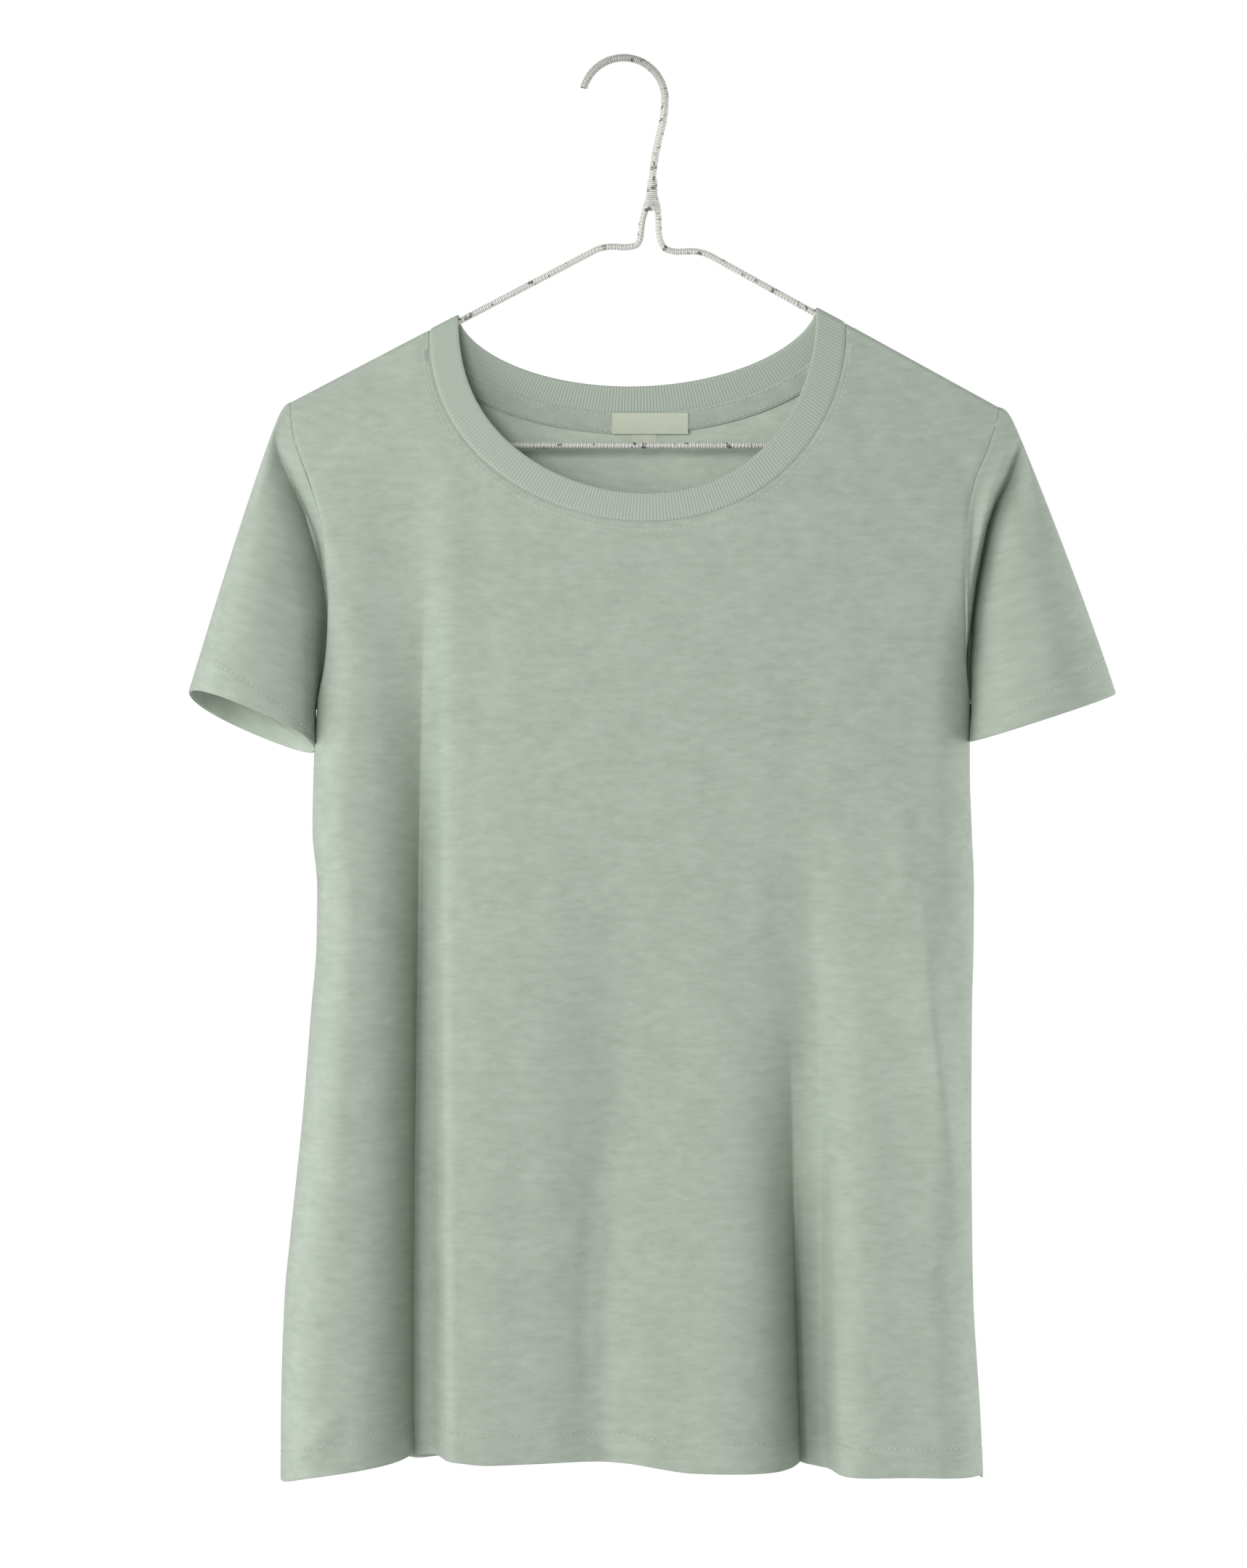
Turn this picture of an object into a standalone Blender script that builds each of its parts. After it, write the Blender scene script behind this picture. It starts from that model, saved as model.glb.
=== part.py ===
"""A short-sleeved crew neck t-shirt that hangs on a wire hanger.

The cloth is a set of thin walls that start as one flattened tube, the body, and
two sleeves set into it. Everything is in millimetres until the meshes are made.
+Z is up, the front faces -Y, and the origin is the inside top of the hook,
where a rail would touch it. Left and right are as a viewer in front sees them.
"""

import math
from collections import namedtuple

import bmesh
import bpy
import numpy as np

MM = 0.001

# The cloth
WALL = 1.2
RIB_WALL = 1.7
RIB_PROUD = 0.3
SEAM_GAP = 0.3
HEM_DEPTH = 16.0
HEM_WALL = 2.2
HEM_STEP = 0.6

# The hanger's wire
WIRE_RADIUS = 1.6
HOOK_WIRE_RADIUS = 2.0
HOOK_RADIUS = 22.8
HOOK_TIP_ANGLE = math.radians(164)
BAR_LEVEL = -211.0
# How far the cloth's turn over the wire stands from the wire's centre
WRAP_RADIUS = 3.4

Arm = namedtuple("Arm", "start_x start_z slope end_x end_radius")
LEFT_ARM = Arm(start_x=-20.0, start_z=-106.0, slope=0.5228, end_x=-183.1, end_radius=12.3)
RIGHT_ARM = Arm(start_x=48.0, start_z=-106.8, slope=0.55, end_x=212.0, end_radius=8.8)

Stem = namedtuple("Stem", "z x")
STEM = [
    Stem(-20.8, 22.8),
    Stem(-32.0, 21.8),
    Stem(-42.0, 19.4),
    Stem(-54.8, 16.9),
    Stem(-64.4, 15.9),
    Stem(-75.6, 15.6),
]
# Where each leg goes below the hook, to the start of its arm: (x, z)
LEFT_LEG = [
    (13.7, -76.1), (12.2, -81.0), (10.4, -87.0), (9.6, -93.5), (8.9, -98.0), (7.2, -100.8),
    (4.0, -101.7), (-9.5, -101.9), (-13.5, -102.8),
]
RIGHT_LEG = [
    (17.5, -76.1), (18.6, -81.0), (19.2, -87.0), (19.4, -93.5), (20.6, -99.0), (22.8, -102.8),
    (26.5, -104.1), (39.5, -104.3), (43.5, -105.0),
]

# The shoulders
LEFT_TIP = -183.0
RIGHT_TIP = 206.0
THROAT_LEVEL = -125.0
RIDGE_BLEND = 4.0

# The neck: half ellipses that hang from the shoulder line
Neck = namedtuple("Neck", "left right drop power")
FRONT_SEAM = Neck(left=-107.0, right=122.4, drop=104.0, power=2.0)
FRONT_EDGE = Neck(left=-90.8, right=106.0, drop=92.5, power=2.0)
BACK_SEAM = Neck(left=-107.0, right=122.4, drop=47.0, power=1.8)
BACK_EDGE = Neck(left=-90.8, right=106.0, drop=35.0, power=1.7)

# The body's outline at each level: where its sides are, and how round they turn
Ring = namedtuple("Ring", "z left right turn")
RINGS = [
    Ring(-130, -187.0, 215.5, 2),
    Ring(-192, -187.0, 215.5, 3),
    Ring(-211, -184.5, 214.0, 5),
    Ring(-235, -179.0, 210.0, 10),
    Ring(-262, -173.5, 204.0, 16),
    Ring(-292, -169.5, 198.4, 20),
    Ring(-316, -167.5, 193.5, 22),
    Ring(-330, -167.2, 191.5, 22),
    Ring(-352, -168.4, 190.6, 22),
    Ring(-390, -170.4, 190.4, 22),
    Ring(-422, -171.0, 191.4, 22),
    Ring(-454, -168.4, 192.6, 22),
    Ring(-486, -168.8, 192.4, 23),
    Ring(-518, -171.4, 191.6, 24),
    Ring(-582, -176.6, 191.2, 25),
    Ring(-646, -183.2, 191.6, 26),
    Ring(-678, -186.2, 192.2, 26),
    Ring(-742, -188.2, 196.0, 26),
    Ring(-782, -188.4, 197.6, 26),
]

# How far the cloth stands from the hanger's plane, by its drop below the shoulder line
Depth = namedtuple("Depth", "drop front back")
DEPTHS = [
    Depth(0, 3.4, 3.4),
    Depth(15, 5.6, 5.4),
    Depth(40, 9.5, 8.6),
    Depth(70, 13.5, 11.8),
    Depth(110, 18.0, 15.6),
    Depth(170, 24.0, 21.5),
    Depth(240, 30.0, 27.5),
    Depth(330, 35.0, 33.0),
    Depth(450, 39.0, 38.0),
    Depth(650, 42.0, 42.0),
]

# The armhole's seams: how far round from the body's side they run at each level
Armhole = namedtuple("Armhole", "z front back")
LEFT_ARMHOLE = [
    Armhole(-187, 5.7, 5.7),
    Armhole(-204, 6.5, 6.0),
    Armhole(-225, 11.0, 9.0),
    Armhole(-244, 15.5, 12.0),
    Armhole(-262, 18.0, 14.0),
    Armhole(-290, 18.5, 14.5),
    Armhole(-315, 15.5, 12.5),
    Armhole(-336, 11.0, 9.5),
    Armhole(-345, 7.5, 6.5),
    Armhole(-350, 3.8, 3.5),
    Armhole(-352, 0.0, 0.0),
    Armhole(-790, 0.0, 0.0),
]
RIGHT_ARMHOLE = [
    Armhole(-190, 11.2, 11.2),
    Armhole(-210, 16.0, 14.0),
    Armhole(-232, 24.0, 19.0),
    Armhole(-246, 26.0, 20.0),
    Armhole(-275, 25.0, 19.0),
    Armhole(-295, 22.5, 17.0),
    Armhole(-312, 18.0, 14.5),
    Armhole(-336, 11.5, 10.0),
    Armhole(-345, 7.5, 6.5),
    Armhole(-350, 3.8, 3.5),
    Armhole(-352, 0.0, 0.0),
    Armhole(-790, 0.0, 0.0),
]
UNDERARM = -352.0
ARMHOLE_GAP = 0.9

# The lower edge, from side to side
HEM_AT = -775.0
Hem = namedtuple("Hem", "x front back")
HEM = [
    Hem(-188, -779.0, -779.0),
    Hem(-157, -772.6, -775.0),
    Hem(-130, -769.0, -773.0),
    Hem(-104, -766.0, -772.0),
    Hem(-92, -764.0, -771.0),
    Hem(-67, -766.0, -771.0),
    Hem(-27, -765.5, -771.0),
    Hem(0, -766.5, -771.0),
    Hem(37, -771.5, -772.0),
    Hem(77, -772.0, -773.0),
    Hem(112, -772.5, -773.0),
    Hem(150, -772.0, -774.0),
    Hem(185, -774.0, -776.0),
    Hem(197, -778.0, -778.0),
]

# Troughs that press the cloth in, by level: a steep wall on one hand, a long slope on the other
Trough = namedtuple("Trough", "z x depth left_reach right_reach")
FRONT_LEFT_TROUGH = [
    Trough(-190, -114, 0.0, 12, 9),
    Trough(-222, -113, 1.0, 13, 9),
    Trough(-270, -110, 3.5, 13, 8),
    Trough(-318, -108, 6.5, 14, 6),
    Trough(-382, -106, 13.0, 14, 5),
    Trough(-446, -105, 18.0, 14, 4.5),
    Trough(-510, -104, 23.0, 14, 4.5),
    Trough(-574, -104, 27.0, 14, 4.5),
    Trough(-670, -104, 31.0, 15, 4.5),
    Trough(-790, -104, 33.0, 17, 5),
]
FRONT_RIGHT_TROUGH = [
    Trough(-400, 96, 0.0, 22, 16),
    Trough(-478, 100, 7.0, 20, 11),
    Trough(-542, 105, 15.0, 17, 7),
    Trough(-606, 107, 24.0, 16, 5),
    Trough(-670, 108, 33.0, 15, 4.5),
    Trough(-734, 109, 39.0, 15, 4),
    Trough(-790, 111, 41.0, 15, 4),
]
FRONT_MIDDLE_TROUGH = [
    Trough(-480, -12, 0.0, 50, 20),
    Trough(-560, -12, 2.5, 48, 12),
    Trough(-640, -12, 5.5, 44, 9),
    Trough(-720, -14, 8.0, 42, 9),
    Trough(-790, -14, 8.5, 42, 12),
]
FRONT_SIDE_RIDGE = [
    Trough(-400, 150, 0.0, 9, 6),
    Trough(-440, 157, -3.0, 9, 6),
    Trough(-518, 165, -5.0, 9, 5),
    Trough(-574, 174, -5.0, 9, 5),
    Trough(-630, 184, -3.5, 9, 5),
    Trough(-680, 190, 0.0, 9, 6),
]
BACK_LEFT_TROUGH = [
    Trough(-260, -96, 0.0, 16, 18),
    Trough(-400, -100, 6.0, 14, 16),
    Trough(-560, -108, 14.0, 12, 15),
    Trough(-790, -114, 22.0, 12, 16),
]
BACK_RIGHT_TROUGH = [
    Trough(-300, 88, 0.0, 20, 16),
    Trough(-440, 96, 7.0, 18, 13),
    Trough(-600, 112, 16.0, 16, 11),
    Trough(-790, 124, 24.0, 16, 11),
]
BACK_MIDDLE_TROUGH = [
    Trough(-420, 6, 0.0, 30, 26),
    Trough(-560, 0, 5.0, 26, 22),
    Trough(-790, -8, 12.0, 24, 20),
]
FOLDS = {
    "front": [FRONT_LEFT_TROUGH, FRONT_RIGHT_TROUGH, FRONT_MIDDLE_TROUGH, FRONT_SIDE_RIDGE],
    "back": [BACK_LEFT_TROUGH, BACK_RIGHT_TROUGH, BACK_MIDDLE_TROUGH],
}
OUTWARD = {"front": -1, "back": 1}

# The sleeves: hem corners, half depth, how much higher the hem's front is, the crown's swell,
# and the valley beside the body in front and behind
Sleeve = namedtuple("Sleeve", "hand outer inner depth lift crown valley back_valley")
LEFT_SLEEVE = Sleeve(-1, (-239.0, -348.5), (-173.0, -377.5), 37.0, 7.5, 3.5, 13.0, 10.0)
RIGHT_SLEEVE = Sleeve(1, (270.5, -347.5), (194.5, -374.0), 37.0, -1.0, 6.5, 13.0, 10.0)
SLEEVE_SQUARENESS = 2.3
SLEEVE_BAND = 0.14
# The directions in which a sleeve leaves its crown, and falls at its outer and inner edge
CROWN_LEAN = (0.88, 0.0, -0.47)
OUTER_FALL = (0.30, 0.0, -0.95)
INNER_FALL = (0.03, 0.0, -1.0)
# How strongly those directions hold, as shares of the sleeve's length
CROWN_PULL = 0.12
UNDERARM_PULL = 0.65
HEM_PULL = 0.7
# Where along the sleeve the crown's swell and the valley are deepest
CROWN_PLACE = 0.1
VALLEY_PLACE = 0.22
# Between which shares of the way down from the shoulder the crown ends, and the valley starts and ends
CROWN_FADE = (0.0, 0.5)
VALLEY_START = (0.3, 0.5)
VALLEY_STOP = (0.82, 1.0)
# Facings are taken a little way from the armhole seam, where the surface turns sharply
SEAM_LOOK = 0.02

# The neck's inner trim
TAPE_WIDTH = 9.0
TAPE_WALL = 0.8
TAPE_START = 0.09
TAPE_LIFT = RIB_WALL - RIB_PROUD + SEAM_GAP
COLLAR_WIDTH = 16.0
COLLAR_GAP = 0.65
LABEL_SIZE = (42.0, 11.6)
LABEL_CENTRE = (14.8, -197.8)
LABEL_WALL = 0.6
LABEL_LIFT = TAPE_LIFT + TAPE_WALL + SEAM_GAP
TAB_SIZE = (13.2, 9.0)
TAB_CENTRE = (11.8, -204.7)
TAB_WALL = 0.6
TAB_LIFT = WALL + SEAM_GAP

# How finely each wall is divided, in shares of its width, height or round
NECK_START = 0.2307
NECK_END = 0.783
Run = namedtuple("Run", "start end steps")
FRONT_COLUMNS = [
    Run(0.0, 0.10, 4),
    Run(0.10, 0.205, 3),
    Run(0.205, NECK_START, 2),
    Run(NECK_START, NECK_START + 0.006, 2),
    Run(NECK_START + 0.006, 0.27, 3),
    Run(0.27, 0.38, 3),
    Run(0.38, 0.62, 7),
    Run(0.62, 0.71, 3),
    Run(0.71, NECK_END - 0.006, 6),
    Run(NECK_END - 0.006, NECK_END, 2),
    Run(NECK_END, 0.90, 3),
    Run(0.90, 1.0, 4),
]
BACK_COLUMNS = [
    Run(0.0, 0.10, 4),
    Run(0.10, NECK_START, 3),
    Run(NECK_START, NECK_START + 0.016, 2),
    Run(NECK_START + 0.016, NECK_END - 0.016, 16),
    Run(NECK_END - 0.016, NECK_END, 2),
    Run(NECK_END, 0.90, 3),
    Run(0.90, 1.0, 4),
]
FRONT_ROWS = [
    Run(0.0, 0.006, 3),
    Run(0.006, 0.05, 3),
    Run(0.05, 0.2583, 7),
    Run(0.2583, 0.2861, 4),
    Run(0.2861, 1.0, 12),
]
BACK_ROWS = [
    Run(0.0, 0.006, 3),
    Run(0.006, 0.05, 3),
    Run(0.05, 0.2583, 6),
    Run(0.2583, 0.2861, 4),
    Run(0.2861, 1.0, 7),
]
SLEEVE_AROUND = 28
SLEEVE_ROWS = [Run(0.0, 0.16, 3), Run(0.16, 0.52, 4), Run(0.52, 1.0, 3)]
COLLAR_HALF = [
    Run(0.0, 0.012, 3),
    Run(0.012, 0.05, 2),
    Run(0.05, 0.95, 18),
    Run(0.95, 0.988, 2),
    Run(0.988, 1.0, 3),
]
SLEEVE_BAND_ROWS = (0.04, 0.5, 1.0)
COLLAR_ACROSS = 2
TAPE_STEPS = 24
PATCH_STEPS = (6, 2)
HOOK_STEPS = 16
STEM_STEPS = 9
BEND_STEPS = 8
WIRE_ROUNDING = 1
CREASE_ANGLE = math.radians(50)
TINY = 0.02

# Linear colour, roughness and metallic value of each material
COLOURS = {
    "jersey": ((0.402, 0.462, 0.398), 0.9, 0.0),
    "rib": ((0.388, 0.448, 0.384), 0.9, 0.0),
    "tape": ((0.402, 0.462, 0.398), 0.9, 0.0),
    "label": ((0.62, 0.66, 0.58), 0.7, 0.0),
    "wire": ((0.66, 0.65, 0.60), 0.6, 0.0),
}


def through(rows, place, value):
    """A smooth curve through one column of a table, flat past both ends. It never overshoots."""
    pairs = sorted((getattr(row, place), getattr(row, value)) for row in rows)
    x, y = np.array(pairs, float).T
    step = np.diff(x)
    slope = np.diff(y) / step
    tangent = np.zeros_like(y)
    if len(y) > 2:
        before, after = slope[:-1], slope[1:]
        even = before * after > 0
        first = 2 * step[1:] + step[:-1]
        second = step[1:] + 2 * step[:-1]
        safe_before = np.where(even, before, 1.0)
        safe_after = np.where(even, after, 1.0)
        mean = (first + second) / (first / safe_before + second / safe_after)
        tangent[1:-1] = np.where(even, mean, 0.0)

    def at(where):
        where = np.clip(where, x[0], x[-1])
        i = np.clip(np.searchsorted(x, where, side="right") - 1, 0, len(step) - 1)
        t = (where - x[i]) / step[i]
        rise = y[i] * (2 * t**3 - 3 * t**2 + 1) + y[i + 1] * (3 * t**2 - 2 * t**3)
        lean = tangent[i] * (t**3 - 2 * t**2 + t) + tangent[i + 1] * (t**3 - t**2)
        return rise + step[i] * lean

    return at


side_left = through(RINGS, "z", "left")
side_right = through(RINGS, "z", "right")
side_turn = through(RINGS, "z", "turn")
stand = {face: through(DEPTHS, "drop", face) for face in OUTWARD}
hem_level = {face: through(HEM, "x", face) for face in OUTWARD}
seam_inset = {
    (hand, face): through(rows, "z", face)
    for hand, rows in ((-1, LEFT_ARMHOLE), (1, RIGHT_ARMHOLE))
    for face in OUTWARD
}
fold_curves = {
    face: [
        {name: through(rows, "z", name) for name in ("x", "depth", "left_reach", "right_reach")}
        for rows in folds
    ]
    for face, folds in FOLDS.items()
}


def steps(runs):
    """The divisions that a table of runs gives, end to end."""
    parts = [np.linspace(run.start, run.end, run.steps, endpoint=False) for run in runs]
    return np.append(np.concatenate(parts), runs[-1].end)


def shoulder_level(x):
    """The top of the cloth over the hanger, level across the throat."""
    clear = WRAP_RADIUS * math.hypot(1.0, LEFT_ARM.slope)
    left = LEFT_ARM.start_z + LEFT_ARM.slope * (x - LEFT_ARM.start_x) + clear
    right = RIGHT_ARM.start_z - RIGHT_ARM.slope * (x - RIGHT_ARM.start_x) + clear
    total = sum(np.exp(-(level - THROAT_LEVEL) / RIDGE_BLEND) for level in (left, right))
    return THROAT_LEVEL - RIDGE_BLEND * np.log1p(total)


def ring_length(z):
    """How long the cloth is across one face of the body at a level, sides included."""
    return side_right(z) - side_left(z) + (math.pi - 2) * side_turn(z)


def across_of(x, z):
    """The place along the cloth, from the middle, of a point away from the rounded sides."""
    turn = side_turn(z)
    return x - side_left(z) + (math.pi / 2 - 1) * turn - ring_length(z) / 2


def sech(x):
    """A soft bell, 1 in the middle and nothing far from it."""
    return 2.0 / (np.exp(np.abs(x)) + np.exp(-np.abs(x)))


def pressed_in(face, x, z):
    """How far the folds press a face of the body in."""
    total = np.zeros_like(x)
    for fold in fold_curves[face]:
        offset = x - fold["x"](z)
        reach = np.where(offset < 0, fold["left_reach"](z), fold["right_reach"](z))
        total = total + fold["depth"](z) * sech(offset / reach)
    return total


def body_point(face, across, z):
    """The outer surface of the body's front or back: across runs along the cloth, z down it."""
    across, z = np.broadcast_arrays(np.asarray(across, float), np.asarray(z, float))
    turn = side_turn(z)
    half = ring_length(z) / 2
    left_angle = np.minimum((across + half) / turn, math.pi / 2)
    right_angle = np.minimum((half - across) / turn, math.pi / 2)
    flat = across + half - (math.pi / 2 - 1) * turn + side_left(z)
    x = np.where(left_angle < math.pi / 2, side_left(z) + turn * (1 - np.cos(left_angle)), flat)
    x = np.where(right_angle < math.pi / 2, side_right(z) - turn * (1 - np.cos(right_angle)), x)
    swell = np.sin(left_angle) * np.sin(right_angle)
    drop = np.maximum(shoulder_level(x) - z, 0.0)
    over = np.clip(1 - drop / WRAP_RADIUS, 0.0, 1.0)
    depth = stand[face](drop) * np.sqrt(1 - over**2)
    y = OUTWARD[face] * swell * (depth - pressed_in(face, x, z))
    return np.stack([x, y, z], axis=-1)


def unit(vectors):
    """The same directions at length 1."""
    return vectors / np.linalg.norm(vectors, axis=-1, keepdims=True)


def body_facing(face, across, z):
    """The outward direction of the body's surface."""
    along = body_point(face, across + TINY, z) - body_point(face, across - TINY, z)
    down = body_point(face, across, z - TINY) - body_point(face, across, z + TINY)
    return unit(OUTWARD[face] * np.cross(along, down))


def neck_point(neck, turn):
    """(x, z) on a half ellipse below the shoulder line, as turn goes from 0, left, to 1, right."""
    angle = math.pi * turn
    middle, half = (neck.left + neck.right) / 2, (neck.right - neck.left) / 2
    x = middle - half * np.cos(angle)
    left_top, right_top = shoulder_level(neck.left), shoulder_level(neck.right)
    top = left_top + (right_top - left_top) * (x - neck.left) / (2 * half)
    return x, top - neck.drop * np.sin(angle) ** (2 / neck.power)


def tip_place(face, hand):
    """(across, z) of a shoulder's outer end, where the armhole starts."""
    z = float(shoulder_level(np.array(LEFT_TIP if hand < 0 else RIGHT_TIP)))
    return seam_line(face, hand, z), z


def level_x(across, z):
    """The x of a place along the cloth, away from the rounded sides."""
    return across + ring_length(z) / 2 - (math.pi / 2 - 1) * side_turn(z) + side_left(z)


def seam_line(face, hand, z):
    """The across place of a panel's own side: its armhole and, below that, its side seam."""
    return hand * (ring_length(z) / 2 - seam_inset[hand, face](z) - SEAM_GAP / 2)


def top_edge(face, neck, share):
    """(across, z) along a panel's top: shoulder, neck seam, shoulder."""
    turn = np.clip((share - NECK_START) / (NECK_END - NECK_START), 0.0, 1.0)
    x, z = neck_point(neck, turn)
    left_x = level_x(*tip_place(face, -1))
    right_x = level_x(*tip_place(face, 1))
    along_left = left_x + (neck.left - left_x) * share / NECK_START
    along_right = right_x + (neck.right - right_x) * (1 - share) / (1 - NECK_END)
    x = np.where(share < NECK_START, along_left, np.where(share > NECK_END, along_right, x))
    on_shoulder = (share <= NECK_START) | (share >= NECK_END)
    z = np.where(on_shoulder, shoulder_level(x), z)
    return across_of(x, z), z


def band_top(face, share):
    """(across, z) along the top of a panel's hem band."""
    x = side_left(HEM_AT) + share * (side_right(HEM_AT) - side_left(HEM_AT))
    z = hem_level[face](x) + HEM_DEPTH
    return (2 * share - 1) * (ring_length(z) / 2 - SEAM_GAP / 2), z


def panel_grid(face, neck, share, fall):
    """(across, z) of a panel's grid: it fills the space inside its four edges, then adds the hem band."""
    share, fall = np.meshgrid(share, fall)
    left_z, right_z = (
        tip_place(face, hand)[1] * (1 - fall) + band_top(face, np.array(end))[1] * fall
        for hand, end in ((-1, 0.0), (1, 1.0))
    )
    lefts = (seam_line(face, -1, left_z), left_z)
    rights = (seam_line(face, 1, right_z), right_z)
    grid = []
    for top, foot, left, right in zip(
        top_edge(face, neck, share), band_top(face, share), lefts, rights
    ):
        lengthwise = (1 - fall) * top + fall * foot
        crosswise = (1 - share) * left + share * right
        high = (1 - share) * left[0, 0] + share * right[0, 0]
        low = (1 - share) * foot[0, 0] + share * foot[0, -1]
        grid.append(lengthwise + crosswise - (1 - fall) * high - fall * low)
    across, z = grid
    for below in (HEM_STEP, HEM_DEPTH / 2, HEM_DEPTH):
        foot = z[len(fall) - 1] - below
        across = np.vstack([across, across[-1:]])
        z = np.vstack([z, foot[None, :]])
    return across, z


def wall(name, outer, inner, material, closed=False):
    """A thin closed wall between two grids of points, each cut into the same triangles."""
    rows, columns = outer.shape[:2]
    count = rows * columns
    points = np.concatenate([outer.reshape(-1, 3), inner.reshape(-1, 3)]) * MM
    index = np.arange(count).reshape(rows, columns)
    after = np.roll(index, -1, axis=1)
    if not closed:
        index, after = index[:, :-1], after[:, :-1]
    corners = np.stack([index[:-1], after[:-1], after[1:], index[1:]], axis=-1).reshape(-1, 4)
    place = points[corners]
    one = np.linalg.norm(place[:, 0] - place[:, 2], axis=1)
    other = np.linalg.norm(place[:, 1] - place[:, 3], axis=1)
    turned = np.where((one <= other)[:, None], corners, np.roll(corners, -1, axis=1))
    skin = np.concatenate([turned[:, [0, 1, 2]], turned[:, [0, 2, 3]]])
    rims = [(index[0], after[0]), (after[-1], index[-1])]
    if not closed:
        rims += [(index[1:, 0], index[:-1, 0]), (after[:-1, -1], after[1:, -1])]
    edge = np.concatenate([np.stack(pair, axis=-1) for pair in rims])
    rim = np.column_stack([edge[:, 1], edge[:, 0], edge[:, 0] + count, edge[:, 1] + count])
    faces = [*skin.tolist(), *(skin[:, ::-1] + count).tolist(), *rim.tolist()]
    mesh = bpy.data.meshes.new(name)
    mesh.from_pydata(points.tolist(), [], faces)
    shape = bmesh.new()
    shape.from_mesh(mesh)
    bmesh.ops.recalc_face_normals(shape, faces=shape.faces)
    shape.to_mesh(mesh)
    shape.free()
    mesh.shade_smooth()
    mesh.set_sharp_from_angle(angle=CREASE_ANGLE)
    mesh.materials.append(material)
    piece = bpy.data.objects.new(name, mesh)
    bpy.context.scene.collection.objects.link(piece)
    return piece


def make_panel(face, neck, columns, rows, material):
    """A body panel, thicker where its lower hem is turned up inside."""
    share, fall = steps(columns), steps(rows)
    across, z = panel_grid(face, neck, share, fall)
    outward = body_facing(face, across, z)
    outer = body_point(face, across, z)
    outer[..., 1] += OUTWARD[face] * SEAM_GAP / 2
    thickness = np.full(z.shape, WALL)
    thickness[len(fall):] = HEM_WALL
    return wall(face, outer, outer - thickness[..., None] * outward, material)


def sleeve_start(sleeve, turn, gap):
    """The sleeve's end of the armhole seam, and the body's facing there; turn runs from the
    shoulder down the front to the underarm and up the back."""
    down = 1 - np.abs(1 - 2 * turn)
    ease = (1 - np.cos(math.pi * down)) / 2
    starts, facings, tangents = {}, {}, {}
    for face in OUTWARD:
        top_z = tip_place(face, sleeve.hand)[1]
        z = top_z + (UNDERARM + gap - top_z) * ease
        inset = seam_inset[sleeve.hand, face](z)
        inset = inset - np.minimum(gap, inset / 3)
        across = sleeve.hand * (ring_length(z) / 2 - inset)
        starts[face] = body_point(face, across, z)
        facings[face] = body_facing(face, across, z)
        out = sleeve.hand * TINY
        tangents[face] = unit(body_point(face, across + out, z) - body_point(face, across - out, z))
    front = (turn <= 0.5)[..., None]
    return tuple(np.where(front, found["front"], found["back"]) for found in (starts, facings, tangents))


def sleeve_end(sleeve, turn):
    """The sleeve's hem: a soft oval that hangs from its outer corner to its inner one."""
    cosine, sine = np.cos(2 * math.pi * turn), np.sin(2 * math.pi * turn)
    along = np.sign(cosine) * np.abs(cosine) ** (2 / SLEEVE_SQUARENESS)
    round_ = np.sign(sine) * np.abs(sine) ** (2 / SLEEVE_SQUARENESS)
    middle = [(a + b) / 2 for a, b in zip(sleeve.outer, sleeve.inner)]
    half = [(a - b) / 2 for a, b in zip(sleeve.outer, sleeve.inner)]
    x = middle[0] + half[0] * along
    z = middle[1] + half[1] * along + sleeve.lift * round_
    return np.stack([x, -sleeve.depth * round_, z], axis=-1)


def ramp(value, low, high):
    """0 up to low, 1 from high, and a smooth rise between."""
    share = np.clip((value - low) / (high - low), 0.0, 1.0)
    return share * share * (3 - 2 * share)


def handed(sleeve, direction):
    """A direction given for the right sleeve, turned round for the left one."""
    return np.array(direction) * (sleeve.hand, 1.0, 1.0)


def sleeve_point(sleeve, turn, along):
    """The outer surface of a sleeve, from its armhole, along 0, to its hem, along 1."""
    turn, along = np.broadcast_arrays(np.asarray(turn, float) % 1.0, np.asarray(along, float))
    down = 1 - np.abs(1 - 2 * turn)
    start, _, tangent = sleeve_start(sleeve, turn, ARMHOLE_GAP)
    end = sleeve_end(sleeve, turn)
    outwards = handed(sleeve, CROWN_LEAN)
    with_body = np.sin(math.pi * down)[..., None]
    leave = unit(with_body * tangent + (1 - with_body) * outwards)
    inner_share = (1 - np.cos(2 * math.pi * turn))[..., None] / 2
    outer_fall, inner_fall = handed(sleeve, OUTER_FALL), handed(sleeve, INNER_FALL)
    arrive = unit(outer_fall + (inner_fall - outer_fall) * inner_share)
    length = np.linalg.norm(end - start, axis=-1, keepdims=True)
    first_pull = (CROWN_PULL + (UNDERARM_PULL - CROWN_PULL) * down[..., None] ** 2) * length
    last_pull = HEM_PULL * length
    t = along[..., None]
    point = (
        start * (2 * t**3 - 3 * t**2 + 1)
        + end * (3 * t**2 - 2 * t**3)
        + leave * first_pull * (t**3 - 2 * t**2 + t)
        + arrive * last_pull * (t**3 - t**2)
    )
    place = along / VALLEY_PLACE
    hollow = (place * np.exp(1 - place)) ** 2
    beside = ramp(down, *VALLEY_START) * (1 - ramp(down, *VALLEY_STOP))
    press = np.where(turn <= 0.5, sleeve.valley, -sleeve.back_valley)
    point[..., 1] += press * hollow * beside
    place = along / CROWN_PLACE
    swell = place * np.exp(1 - place) * (1 - ramp(down, *CROWN_FADE))
    point[..., 0] += sleeve.hand * sleeve.crown * swell
    return point


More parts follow.
